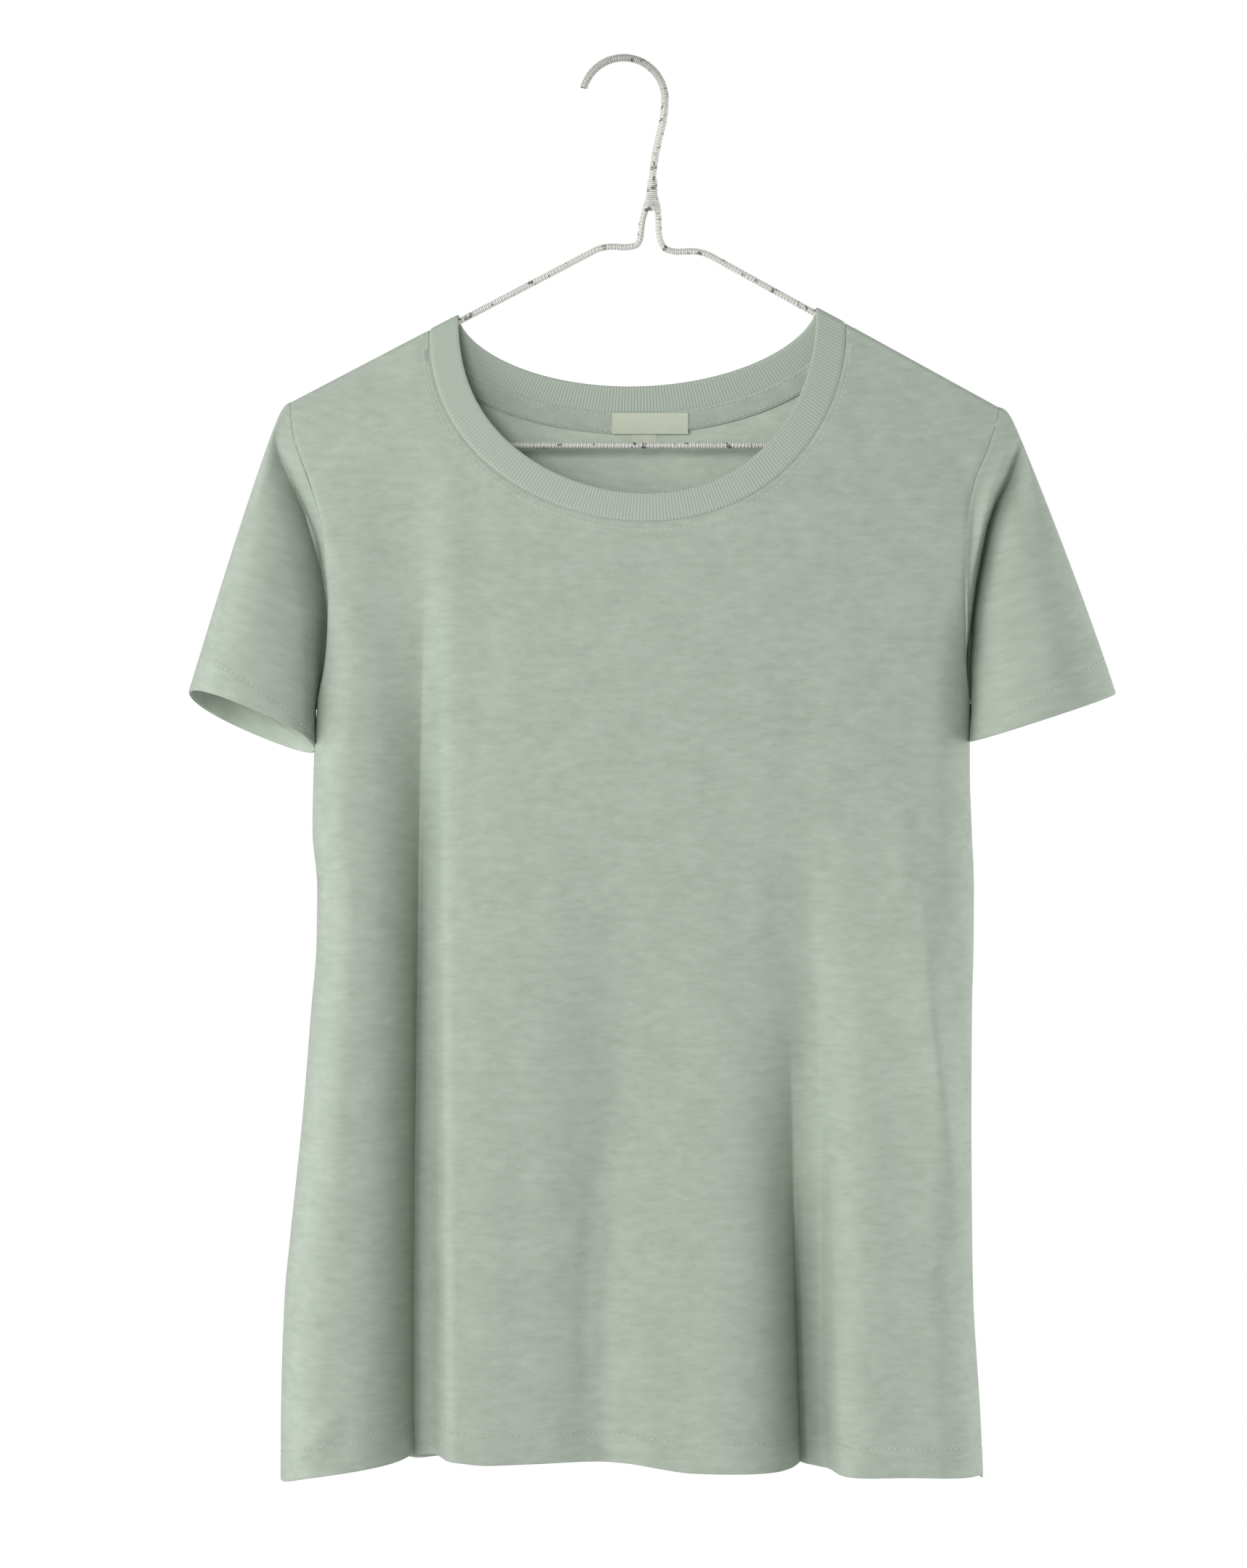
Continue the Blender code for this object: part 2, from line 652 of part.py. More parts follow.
def sleeve_facing(sleeve, turn, along):
    """The outward direction of a sleeve's surface, shared with the body's at the armhole seam."""
    share = TINY / 200
    near = np.clip(along, SEAM_LOOK, 1.0 - share)
    lengthwise = sleeve_point(sleeve, turn, near + share) - sleeve_point(sleeve, turn, near - share)
    around = sleeve_point(sleeve, turn + share, near) - sleeve_point(sleeve, turn - share, near)
    own = unit(sleeve.hand * np.cross(around, lengthwise))
    body = sleeve_start(sleeve, turn % 1.0, ARMHOLE_GAP)[1]
    at_seam = (along <= 0.0)[..., None]
    return unit(own + np.where(at_seam, body, 0.0))


def make_sleeve(name, sleeve, material):
    """A tube from the armhole to the hem, thicker along its turned-up hem."""
    turn = np.arange(SLEEVE_AROUND) / SLEEVE_AROUND
    length = 1 - SLEEVE_BAND
    band = length + SLEEVE_BAND * np.array(SLEEVE_BAND_ROWS)
    turn, along = np.meshgrid(turn, np.concatenate([steps(SLEEVE_ROWS) * length, band]))
    outer = sleeve_point(sleeve, turn, along)
    outward = sleeve_facing(sleeve, turn, along)
    thickness = np.full(turn.shape, WALL)
    thickness[-len(band):] = HEM_WALL
    return wall(name, outer, outer - thickness[..., None] * outward, material, closed=True)


def neck_strip(face, seam, edge, turn, rise):
    """Outer points and facings of a strip along the neck: rise is 0 at the seam and 1 at the edge."""
    turn, rise = np.meshgrid(turn, rise)
    seam_x, seam_z = neck_point(seam, turn)
    edge_x, edge_z = neck_point(edge, turn)
    x = seam_x + (edge_x - seam_x) * rise
    z = seam_z + (edge_z - seam_z) * rise
    across = across_of(x, z)
    return body_point(face, across, z), body_facing(face, across, z)


def make_collar(material):
    """The rib band round the neck: a ring over both shoulders, a little proud of the panels."""
    turn = steps(COLLAR_HALF)
    gap = COLLAR_GAP / COLLAR_WIDTH
    rise = np.linspace(gap, 1.0, COLLAR_ACROSS + 1)
    front, front_facing = neck_strip("front", FRONT_SEAM, FRONT_EDGE, turn, rise)
    back, back_facing = neck_strip("back", BACK_SEAM, BACK_EDGE, turn[-2:0:-1], rise)
    surface = np.concatenate([front, back], axis=1)
    outward = np.concatenate([front_facing, back_facing], axis=1)
    outer = surface + RIB_PROUD * outward
    inner = surface - (RIB_WALL - RIB_PROUD) * outward
    return wall("collar", outer, inner, material, closed=True)


def make_tape(material):
    """The tape that covers the back neck seam inside."""
    turn = np.linspace(TAPE_START, 1 - TAPE_START, TAPE_STEPS + 1)
    reach = TAPE_WIDTH / 2 / COLLAR_WIDTH
    surface, outward = neck_strip("back", BACK_SEAM, BACK_EDGE, turn, np.array([-reach, 0.0, reach]))
    lift = TAPE_LIFT
    return wall("neck_tape", surface - lift * outward, surface - (lift + TAPE_WALL) * outward, material)


def make_patch(name, centre, size, lift, thickness, material):
    """A small flat label that lies along the inside of the back."""
    x = centre[0] + size[0] * np.linspace(-0.5, 0.5, PATCH_STEPS[0] + 1)
    z = centre[1] + size[1] * np.linspace(0.5, -0.5, PATCH_STEPS[1] + 1)
    x, z = np.meshgrid(x, z)
    across = across_of(x, z)
    surface, outward = body_point("back", across, z), body_facing("back", across, z)
    return wall(name, surface - lift * outward, surface - (lift + thickness) * outward, material)


def make_wire(name, route, radius, material):
    """A round wire along (x, z) points in the hanger's plane."""
    curve = bpy.data.curves.new(name, "CURVE")
    curve.dimensions = "3D"
    curve.bevel_depth = radius * MM
    curve.bevel_resolution = WIRE_ROUNDING
    curve.use_fill_caps = True
    line = curve.splines.new("POLY")
    line.points.add(len(route) - 1)
    for point, (x, z) in zip(line.points, route):
        point.co = (x * MM, 0.0, z * MM, 1.0)
    curve.materials.append(material)
    piece = bpy.data.objects.new(name, curve)
    bpy.context.scene.collection.objects.link(piece)
    return piece


def hook_route():
    """The hook's arc from its tip, then the stem down to the wrap."""
    centre_z = HOOK_WIRE_RADIUS - HOOK_RADIUS
    angles = np.linspace(HOOK_TIP_ANGLE, 0.0, HOOK_STEPS + 1)
    arc = [(HOOK_RADIUS * math.cos(a), centre_z + HOOK_RADIUS * math.sin(a)) for a in angles]
    stem = through(STEM, "z", "x")
    heights = np.linspace(centre_z, STEM[-1].z, STEM_STEPS + 1)[1:]
    return arc + [(float(stem(z)), z) for z in heights]


def end_bend(arm, hand):
    """The rounded end of the hanger, from its arm to its bar."""
    radius = arm.end_radius
    centre = (arm.end_x - hand * radius, BAR_LEVEL + radius)
    lean = math.atan(arm.slope)
    angles = np.linspace(math.pi / 2 - lean, -math.pi / 2, BEND_STEPS + 1)
    return [
        (centre[0] + hand * radius * math.cos(a), centre[1] + radius * math.sin(a)) for a in angles
    ]


def make_hanger(material):
    """Hook, two arms that end in the lower bends, and the bar between them."""
    make_wire("hanger_hook", hook_route(), HOOK_WIRE_RADIUS, material)
    ends = {}
    for name, hand, arm, leg in (
        ("hanger_left_arm", -1, LEFT_ARM, LEFT_LEG),
        ("hanger_right_arm", 1, RIGHT_ARM, RIGHT_LEG),
    ):
        bend = end_bend(arm, hand)
        ends[hand] = bend[-1]
        make_wire(name, [*leg, (arm.start_x, arm.start_z), *bend], WIRE_RADIUS, material)
    bar = [
        (ends[-1][0] + SEAM_GAP, BAR_LEVEL),
        ((ends[-1][0] + ends[1][0]) / 2, BAR_LEVEL),
        (ends[1][0] - SEAM_GAP, BAR_LEVEL),
    ]
    make_wire("hanger_bar", bar, WIRE_RADIUS, material)


def finish_of(name):
    """A plain material of that name in the object's colours."""
    colour, roughness, metallic = COLOURS[name]
    material = bpy.data.materials.new(name)
    material.use_nodes = True
    shader = material.node_tree.nodes["Principled BSDF"]
    shader.inputs["Base Color"].default_value = (*colour, 1.0)
    shader.inputs["Roughness"].default_value = roughness
    shader.inputs["Metallic"].default_value = metallic
    return material


def main():
    for old in list(bpy.data.objects):
        bpy.data.objects.remove(old, do_unlink=True)
    finish = {name: finish_of(name) for name in COLOURS}
    make_panel("front", FRONT_SEAM, FRONT_COLUMNS, FRONT_ROWS, finish["jersey"])
    make_panel("back", BACK_SEAM, BACK_COLUMNS, BACK_ROWS, finish["jersey"])
    make_sleeve("sleeve_left", LEFT_SLEEVE, finish["jersey"])
    make_sleeve("sleeve_right", RIGHT_SLEEVE, finish["jersey"])
    make_collar(finish["rib"])
    make_tape(finish["tape"])
    make_patch("neck_label", LABEL_CENTRE, LABEL_SIZE, LABEL_LIFT, LABEL_WALL, finish["label"])
    make_patch("size_tab", TAB_CENTRE, TAB_SIZE, TAB_LIFT, TAB_WALL, finish["label"])
    make_hanger(finish["wire"])


main()
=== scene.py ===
"""A crew neck t-shirt in sage slub jersey, hanging on a cord-wound wire hanger.

The file is laid out as an add-on and is run as a script. The cloth is worked out
in millimetres, +Z up and the front facing -Y, from the inside top of the hook, and
becomes metres when a mesh is made. Left and right are as a viewer in front sees them.
"""

import math
from collections import namedtuple
from functools import partial

import bmesh
import bpy
import numpy as np
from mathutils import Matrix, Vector


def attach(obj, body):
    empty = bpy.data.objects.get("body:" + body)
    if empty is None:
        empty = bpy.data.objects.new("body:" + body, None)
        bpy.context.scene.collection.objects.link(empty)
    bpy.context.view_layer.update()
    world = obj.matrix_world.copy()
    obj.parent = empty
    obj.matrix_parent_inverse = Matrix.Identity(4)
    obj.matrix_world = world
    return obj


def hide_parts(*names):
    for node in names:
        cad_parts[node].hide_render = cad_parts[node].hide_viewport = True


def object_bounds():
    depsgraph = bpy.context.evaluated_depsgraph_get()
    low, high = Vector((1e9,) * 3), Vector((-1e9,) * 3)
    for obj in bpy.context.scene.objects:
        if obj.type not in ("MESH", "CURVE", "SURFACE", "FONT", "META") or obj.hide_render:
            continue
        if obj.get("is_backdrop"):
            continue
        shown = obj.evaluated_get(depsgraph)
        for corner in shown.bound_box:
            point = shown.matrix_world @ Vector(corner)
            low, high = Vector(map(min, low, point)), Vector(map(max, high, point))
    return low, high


bl_info = {
    "name": "Crew neck t-shirt on a wire hanger",
    "version": (1, 0, 0),
    "blender": (4, 5, 0),
    "location": "3D View > Sidebar > T-shirt",
    "description": "Builds the jersey, rib collar, stitching, neck trim and wound hanger",
    "category": "Add Mesh",
}

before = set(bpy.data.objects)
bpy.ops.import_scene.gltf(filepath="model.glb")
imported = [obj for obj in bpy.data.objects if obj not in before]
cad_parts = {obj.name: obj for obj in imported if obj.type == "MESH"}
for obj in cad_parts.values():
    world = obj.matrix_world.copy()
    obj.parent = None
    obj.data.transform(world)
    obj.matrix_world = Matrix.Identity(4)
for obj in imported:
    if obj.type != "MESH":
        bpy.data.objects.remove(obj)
SOLID_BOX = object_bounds()

MM = 0.001


def table(kind, *rows):
    """Rows of one kind, each with its values named."""
    return [kind(*row) for row in rows]


# The cloth's walls, with the jersey thinner and the seams closer than in the solids
WALL = 0.9
RIB_WALL = 1.7
RIB_PROUD = 0.3
SEAM_GAP = 0.06
HEM_DEPTH = 16.0
HEM_WALL = 1.8

# The hanger's wire, a little thicker with its cord on than the plain solid
WIRE_RADIUS = 1.9
HOOK_WIRE_RADIUS = 2.25
HOOK_RADIUS = 22.8
HOOK_TIP_ANGLE = math.radians(164)
BAR_LEVEL = -211.0
WRAP_RADIUS = 3.4

Arm = namedtuple("Arm", "start_x start_z slope end_x end_radius")
LEFT_ARM = Arm(start_x=-20.0, start_z=-106.0, slope=0.5228, end_x=-183.1, end_radius=12.3)
RIGHT_ARM = Arm(start_x=48.0, start_z=-106.8, slope=0.55, end_x=212.0, end_radius=8.8)

Stem = namedtuple("Stem", "z x")
STEM = table(
    Stem,
    (-20.8, 22.8), (-32.0, 21.8), (-42.0, 19.4), (-54.8, 16.9), (-64.4, 15.9), (-75.6, 15.6),
)
# Where each leg goes below the hook, to the start of its arm: (x, z)
LEFT_LEG = [
    (13.7, -76.1), (12.2, -81.0), (10.4, -87.0), (9.6, -93.5), (8.9, -98.0), (7.2, -100.8),
    (4.0, -101.7), (-9.5, -101.9), (-13.5, -102.8),
]
RIGHT_LEG = [
    (17.5, -76.1), (18.6, -81.0), (19.2, -87.0), (19.4, -93.5), (20.6, -99.0), (22.8, -102.8),
    (26.5, -104.1), (39.5, -104.3), (43.5, -105.0),
]

# The shoulders
LEFT_TIP = -183.0
RIGHT_TIP = 206.0
THROAT_LEVEL = -125.0
RIDGE_BLEND = 4.0

# The neck: half ellipses that hang from the shoulder line, the front's lowest point a little to
# the right. They hang 4 to 9 mm lower than in the solids, as the photograph shows
Neck = namedtuple("Neck", "left right drop power lean", defaults=[0.0])
FRONT_SEAM = Neck(left=-107.0, right=122.4, drop=108.2, power=2.15, lean=7.0)
FRONT_EDGE = Neck(left=-90.8, right=106.0, drop=101.0, power=2.25, lean=7.0)
BACK_SEAM = Neck(left=-107.0, right=122.4, drop=52.0, power=1.8)
BACK_EDGE = Neck(left=-90.8, right=106.0, drop=40.3, power=1.7)

# From here to the sleeves, all but the armholes' gap is as in the solids

# The body's outline at each level: where its sides are, and how round they turn
Ring = namedtuple("Ring", "z left right turn")
RINGS = table(
    Ring,
    (-130, -187.0, 215.5, 2), (-192, -187.0, 215.5, 3), (-211, -184.5, 214.0, 5),
    (-235, -179.0, 210.0, 10), (-262, -173.5, 204.0, 16), (-292, -169.5, 198.4, 20),
    (-316, -167.5, 193.5, 22), (-330, -167.2, 191.5, 22), (-352, -168.4, 190.6, 22),
    (-390, -170.4, 190.4, 22), (-422, -171.0, 191.4, 22), (-454, -168.4, 192.6, 22),
    (-486, -168.8, 192.4, 23), (-518, -171.4, 191.6, 24), (-582, -176.6, 191.2, 25),
    (-646, -183.2, 191.6, 26), (-678, -186.2, 192.2, 26), (-742, -188.2, 196.0, 26),
    (-782, -188.4, 197.6, 26),
)

# How far the cloth stands from the hanger's plane, by its drop below the shoulder line
Depth = namedtuple("Depth", "drop front back")
DEPTHS = table(
    Depth,
    (0, 3.4, 3.4), (15, 5.6, 5.4), (40, 9.5, 8.6), (70, 13.5, 11.8), (110, 18.0, 15.6),
    (170, 24.0, 21.5), (240, 30.0, 27.5), (330, 35.0, 33.0), (450, 39.0, 38.0), (650, 42.0, 42.0),
)

# The armhole's seams: how far round from the body's side they run at each level
Armhole = namedtuple("Armhole", "z front back")
LEFT_ARMHOLE = table(
    Armhole,
    (-187, 5.7, 5.7), (-204, 6.5, 6.0), (-225, 11.0, 9.0), (-244, 15.5, 12.0), (-262, 18.0, 14.0),
    (-290, 18.5, 14.5), (-315, 15.5, 12.5), (-336, 11.0, 9.5), (-345, 7.5, 6.5), (-350, 3.8, 3.5),
    (-352, 0.0, 0.0), (-790, 0.0, 0.0),
)
RIGHT_ARMHOLE = table(
    Armhole,
    (-190, 11.2, 11.2), (-210, 16.0, 14.0), (-232, 24.0, 19.0), (-246, 26.0, 20.0),
    (-275, 25.0, 19.0), (-295, 22.5, 17.0), (-312, 18.0, 14.5), (-336, 11.5, 10.0),
    (-345, 7.5, 6.5), (-350, 3.8, 3.5), (-352, 0.0, 0.0), (-790, 0.0, 0.0),
)
UNDERARM = -352.0
ARMHOLE_GAP = 0.12

# The lower edge, from side to side
HEM_AT = -775.0
Hem = namedtuple("Hem", "x front back")
HEM = table(
    Hem,
    (-188, -779.0, -779.0), (-157, -772.6, -775.0), (-130, -769.0, -773.0),
    (-104, -766.0, -772.0), (-92, -764.0, -771.0), (-67, -766.0, -771.0), (-27, -765.5, -771.0),
    (0, -766.5, -771.0), (37, -771.5, -772.0), (77, -772.0, -773.0), (112, -772.5, -773.0),
    (150, -772.0, -774.0), (185, -774.0, -776.0), (197, -778.0, -778.0),
)

# Troughs that press the cloth in, by level: a steep wall on one hand, a long slope on the other
Trough = namedtuple("Trough", "z x depth left_reach right_reach")
FRONT_LEFT_TROUGH = table(
    Trough,
    (-190, -114, 0.0, 12, 9), (-222, -113, 1.0, 13, 9), (-270, -110, 3.5, 13, 8),
    (-318, -108, 6.5, 14, 6), (-382, -106, 13.0, 14, 5), (-446, -105, 18.0, 14, 4.5),
    (-510, -104, 23.0, 14, 4.5), (-574, -104, 27.0, 14, 4.5), (-670, -104, 31.0, 15, 4.5),
    (-790, -104, 33.0, 17, 5),
)
FRONT_RIGHT_TROUGH = table(
    Trough,
    (-400, 96, 0.0, 22, 16), (-478, 100, 7.0, 20, 11), (-542, 105, 15.0, 17, 7),
    (-606, 107, 24.0, 16, 5), (-670, 108, 33.0, 15, 4.5), (-734, 109, 39.0, 15, 4),
    (-790, 111, 41.0, 15, 4),
)
FRONT_MIDDLE_TROUGH = table(
    Trough,
    (-480, -12, 0.0, 50, 20), (-560, -12, 2.5, 48, 12), (-640, -12, 5.5, 44, 9),
    (-720, -14, 8.0, 42, 9), (-790, -14, 8.5, 42, 12),
)
FRONT_SIDE_RIDGE = table(
    Trough,
    (-400, 150, 0.0, 9, 6), (-440, 157, -3.0, 9, 6), (-518, 165, -5.0, 9, 5),
    (-574, 174, -5.0, 9, 5), (-630, 184, -3.5, 9, 5), (-680, 190, 0.0, 9, 6),
)
BACK_LEFT_TROUGH = table(
    Trough,
    (-260, -96, 0.0, 16, 18), (-400, -100, 6.0, 14, 16), (-560, -108, 14.0, 12, 15),
    (-790, -114, 22.0, 12, 16),
)
BACK_RIGHT_TROUGH = table(
    Trough,
    (-300, 88, 0.0, 20, 16), (-440, 96, 7.0, 18, 13), (-600, 112, 16.0, 16, 11),
    (-790, 124, 24.0, 16, 11),
)
BACK_MIDDLE_TROUGH = table(
    Trough,
    (-420, 6, 0.0, 30, 26), (-560, 0, 5.0, 26, 22), (-790, -8, 12.0, 24, 20),
)
FOLDS = {
    "front": [FRONT_LEFT_TROUGH, FRONT_RIGHT_TROUGH, FRONT_MIDDLE_TROUGH, FRONT_SIDE_RIDGE],
    "back": [BACK_LEFT_TROUGH, BACK_RIGHT_TROUGH, BACK_MIDDLE_TROUGH],
}
OUTWARD = {"front": -1, "back": 1}

# The sleeves: hem corners, half depth, how much higher the hem's front is, the crown's swell,
# and the valley beside the body in front and behind. The inner corners are about 5 mm nearer the
# body than in the solids, which showed small openings under the arms. The swell and the valleys
# are smaller, and creases deepen the valleys
Sleeve = namedtuple("Sleeve", "hand outer inner depth lift crown valley back_valley")
LEFT_SLEEVE = Sleeve(-1, (-239.0, -348.5), (-168.4, -377.5), 37.0, 7.5, 1.5, 5.0, 6.0)
RIGHT_SLEEVE = Sleeve(1, (270.5, -347.5), (188.8, -374.0), 37.0, -1.0, 2.5, 5.0, 6.0)
SLEEVE_SQUARENESS = 2.3
SLEEVE_BAND = 0.14
# The directions in which a sleeve leaves its crown, and falls at its outer and inner edge
CROWN_LEAN = (0.88, 0.0, -0.47)
OUTER_FALL = (0.30, 0.0, -0.95)
INNER_FALL = (0.03, 0.0, -1.0)
# How strongly those directions hold, as shares of the sleeve's length
CROWN_PULL = 0.2
UNDERARM_PULL = 0.28
HEM_PULL = 0.7
# Where along the sleeve the crown's swell and the valley are deepest
CROWN_PLACE = 0.1
VALLEY_PLACE = 0.22
# Over which shares of the way down from the shoulder the crown fades, and the valley comes and goes
CROWN_FADE = (0.0, 0.5)
VALLEY_START = (0.3, 0.5)
VALLEY_STOP = (0.82, 1.0)
# Facings are taken a little way from the armhole seam, where the surface turns sharply
SEAM_LOOK = 0.02

# The neck's inner trim
TAPE_WIDTH = 9.0
TAPE_WALL = 0.8
TAPE_START = 0.09
TAPE_LIFT = RIB_WALL - RIB_PROUD + SEAM_GAP
COLLAR_WIDTH = 16.0
COLLAR_GAP = 0.1
LABEL_SIZE = (42.0, 11.6)
LABEL_CENTRE = (14.8, -197.8)
LABEL_LIFT = TAPE_LIFT + TAPE_WALL + SEAM_GAP
TAB_SIZE = (13.2, 9.0)
TAB_CENTRE = (11.8, -204.7)
TAB_LIFT = WALL + SEAM_GAP

# How finely each wall is divided, in shares of its width, height or round
NECK_START = 0.15
NECK_END = 0.86
SIDE_REACH = 14
Run = namedtuple("Run", "start end steps")
PANEL_COLUMNS = table(
    Run,
    (0.0, 0.006, 4), (0.006, NECK_START, 34), (NECK_START, NECK_START + 0.012, 6),
    (NECK_START + 0.012, 0.225, 34), (0.225, 0.71, 62), (0.71, 0.785, 40),
    (0.785, NECK_END - 0.02, 8), (NECK_END - 0.02, NECK_END, 8), (NECK_END, 0.994, 32),
    (0.994, 1.0, 4),
)
PANEL_ROWS = table(
    Run,
    (0.0, 0.01, 8), (0.01, 0.05, 12), (0.05, 0.30, 50), (0.30, 1.0, 96),
)
# Rows of the turned-up hem, by their distance below its stitching
HEM_ROWS = (0.4, 0.9, 1.6, 3.0, 6.0, 9.0, 12.0, 14.2, 15.2, 15.6, 15.85, 16.0)
SLEEVE_AROUND = 128
SLEEVE_ROWS = table(Run, (0.0, 0.03, 5), (0.03, 0.28, 42), (0.28, 0.52, 16), (0.52, 1.0, 28))
COLLAR_HALF = table(
    Run,
    (0.0, 0.012, 6), (0.012, 0.05, 10), (0.05, 0.95, 110), (0.95, 0.988, 10), (0.988, 1.0, 6),
)
COLLAR_ACROSS = 14
TAPE_STEPS = 110
HOOK_STEPS = 40
STEM_STEPS = 30
ARM_STEPS = 30
BEND_STEPS = 14
BAR_STEPS = 20
CREASE_ANGLE = math.radians(72)
TINY = 0.02

# Edges roll in at a sewn seam, and a row of stitches sinks into the cloth
SEAM_ROLL = 0.45
SEAM_ROLL_REACH = 1.3
TIP_EASE = (3.0, 22.0)
STITCH_SINK = 0.18
STITCH_SINK_REACH = 1.0
NECK_STITCH = 3.0
# Where round the neck its stitches start and end, and the points of their line
NECK_LINE = (0.02, 0.98, 260)
# How gently the neck's rolled edge starts and ends, as shares of the panel's width
NECK_EASE = (0.002, 0.004)

# The hem's lower edge: how far up it is round, and what it keeps of its wall, as shares of the wall
EDGE_ROUNDING = 0.6
EDGE_THIN = 0.1
# The row of a grid that the hem's stitches run along
HEM_LINE = -len(HEM_ROWS) - 1

# Sewn stitches: their sides, their rings as shares of half their length, and how far they rise
# and how high they are as shares of the thread
STITCH_AROUND = 6
STITCH_RINGS = (-0.72, 0.0, 0.72)
STITCH_RISE = 0.25
STITCH_FLAT = 0.8

# The neck band's upper edge is round over this width, and keeps this share of its wall. Its
# outer face dips at the seam
COLLAR_ROUNDING = 1.1
COLLAR_THIN = 0.06
COLLAR_DIP = 0.75
COLLAR_DIP_REACH = 0.9
# The tape thins towards its two edges, by this much on either face
TAPE_THIN = (0.35, 0.3)
# The label and its tab: how far their two faces are off their lift, and how high they wave
LABEL_FACES = (0.1, 0.42)
LABEL_WAVE = 0.12
SELVEDGE = 0.1

# The cord: how far it sinks into the bare wire's place, and its steps to a turn
CORD_SINK = 0.7
TURN_STEPS = 10
# The binding under the hook's stem, by level: half its width, and its middle
BINDING_HALF = [(-65.0, 2.4), (-73.0, 2.8), (-77.0, 4.0), (-82.0, 5.4)]
BINDING_MIDDLE = [(-65.0, 15.9), (-76.0, 15.6), (-82.0, 15.4)]
BINDING_DEPTH = 2.6
BINDING_STEPS = 14

# The jersey's streaks: their length and height in millimetres, where their noise is taken, and
# their weight. Then the sums that make its darkest and palest colour, and the knit's own weight
Streak = namedtuple("Streak", "long tall seed weight")
SHORT_STREAKS = Streak(5.0, 1.9, 3.0, 0.45)
LONG_STREAKS = Streak(10.0, 4.0, 8.0, 1.2)
CLOUDS = Streak(24.0, 22.0, 1.0, 0.8)
STREAK_SPAN = (0.72, 1.73)
KNIT_SHARE = 0.16

# Smaller creases, laid along a line from its top to its foot: depth is how far
# the cloth is pressed in, or raised where it is negative, and bow bends the line sideways.
# A pinched one is a narrow valley with steep sides. Near is the reach of its left side, or of
# the side nearer to the armhole, where that differs
Crease = namedtuple(
    "Crease", "x_top z_top x_low z_low depth reach bow pinched near", defaults=[False, 0.0]
)
PINCH_ROUNDING = 0.6
# The panel's columns are drawn onto a pinched crease over this share of its width, from the first
# distance above the crease's top to the second one below it
PINCH_PULL = 0.09
PINCH_START = (90.0, 20.0)
# Creases fade out where the cloth turns to face sideways, and near a sleeve's armhole
SIDE_FADE = (0.0, 0.35)
ARMHOLE_FADE = (0.0, 2.5)
# The back's hem rises with the front's where the left crease reaches it
BACK_LIFT = 2.5
BACK_LIFT_AT = -112.0
BACK_LIFT_REACH = 16.0
CREASES = {
    "front": table(
        Crease,
        # The bottoms of the two long troughs, and the middle one
        (-109.5, -330, -113, -1000, 18.0, 4.6, 4, True, 5.0),
        (-102, -330, -95, -1000, -7.5, 7.0, 0), (91.5, -560, 106, -1000, 22.0, 5.0, 0, True),
        (106, -540, 119, -1000, -9.0, 6.5, 0), (6, -430, 4, -1000, 12.0, 85, 0, False, 36),
        (-127, -214, -121, -395, 1.4, 13, 3), (-98, -214, -95, -420, -1.2, 9, -2),
        (-78, -232, -70, -400, 0.7, 9, 2), (92, -300, 88, -500, 1.3, 15, -6),
        (60, -330, 74, -560, 0.6, 13, 5), (159, -405, 159, -505, 0.8, 5.0, 1),
        (164, -450, 190, -680, -1.3, 5.5, 3), (177, -450, 192, -610, 1.0, 5.5, 2),
        (-16, -600, -21, -760, 1.0, 4.5, 2), (-58, -520, -62, -900, 0.8, 12, -4),
        (34, -600, 40, -900, 0.6, 14, 5), (-152, -738, -178, -762, -1.5, 3.6, 1),
        (-146, -748, -166, -770, 1.0, 4.2, -1), (-162, -420, -144, -436, 0.5, 4.0, 1),
        (-158, -560, -170, -900, 0.9, 8, 3), (150, -560, 142, -900, 0.7, 12, -4),
        (176, -690, 184, -900, 0.9, 5, 1), (-150, -200, -178, -240, 0.7, 5, 1),
        (178, -206, 192, -244, 0.6, 5, -1), (-60, -266, 50, -272, 0.5, 7, 4),
        (128, -186, 150, -270, 0.6, 9, 3),
    ),
    "back": table(
        Crease,
        (-60, -243, 78, -239, 2.2, 20, 3), (-112, -420, -116, -1000, 5.0, 6.5, 0),
        (122, -480, 126, -1000, 5.5, 6.5, 0), (-120, -250, -112, -430, 1.4, 14, -3),
        (-60, -240, -66, -470, 0.9, 12, 4), (40, -230, 46, -500, 0.8, 14, -4),
        (110, -270, 118, -480, 1.3, 13, 3), (-164, -430, -186, -640, -1.1, 5.5, -3),
        (60, -560, 66, -900, 0.9, 9, 4), (-50, -600, -44, -900, 0.8, 10, -3),
        (160, -600, 172, -900, 0.9, 7, 2), (-40, -204, 50, -208, 0.4, 7, 4),
        (-148, -750, -170, -766, 0.8, 4.5, 1),
    ),
}

# Creases of the sleeves, by millimetres round from the shoulder line, down the front first,
# and by millimetres below the armhole
SLEEVE_CREASES = {
    "sleeve_left": table(
        Crease,
        (16, 14.5, 94, -7.5, 17.0, 7.0, 0, True, 2.2), (154, 14, 92, 14, 3.0, 7, 2),
        (14, 30, 26, 200, 1.0, 6, 2), (30, 24, 42, 140, -0.9, 7, 2), (52, 36, 62, 200, 0.9, 7, 3),
        (8, 96, 34, 150, -0.6, 7, 2), (158, 30, 146, 200, 0.8, 8, 3),
        (118, 60, 124, 200, 0.8, 8, -3),
    ),
    "sleeve_right": table(
        Crease,
        (10, 25, 94, -11, 20.0, 8.0, -4, True, 2.4), (12, 17, 84, -8, -4.5, 5.5, -4),
        (154, 14, 92, 14, 3.0, 7, 2), (16, 44, 24, 200, 0.8, 7, -2),
        (34, 60, 44, 200, -0.8, 7, 2), (58, 70, 66, 140, 0.9, 5, 3),
        (20, 120, 50, 140, 0.5, 6, 2), (156, 40, 150, 200, 0.8, 8, 2),
        (120, 50, 128, 200, 0.7, 9, -3),
    ),
}
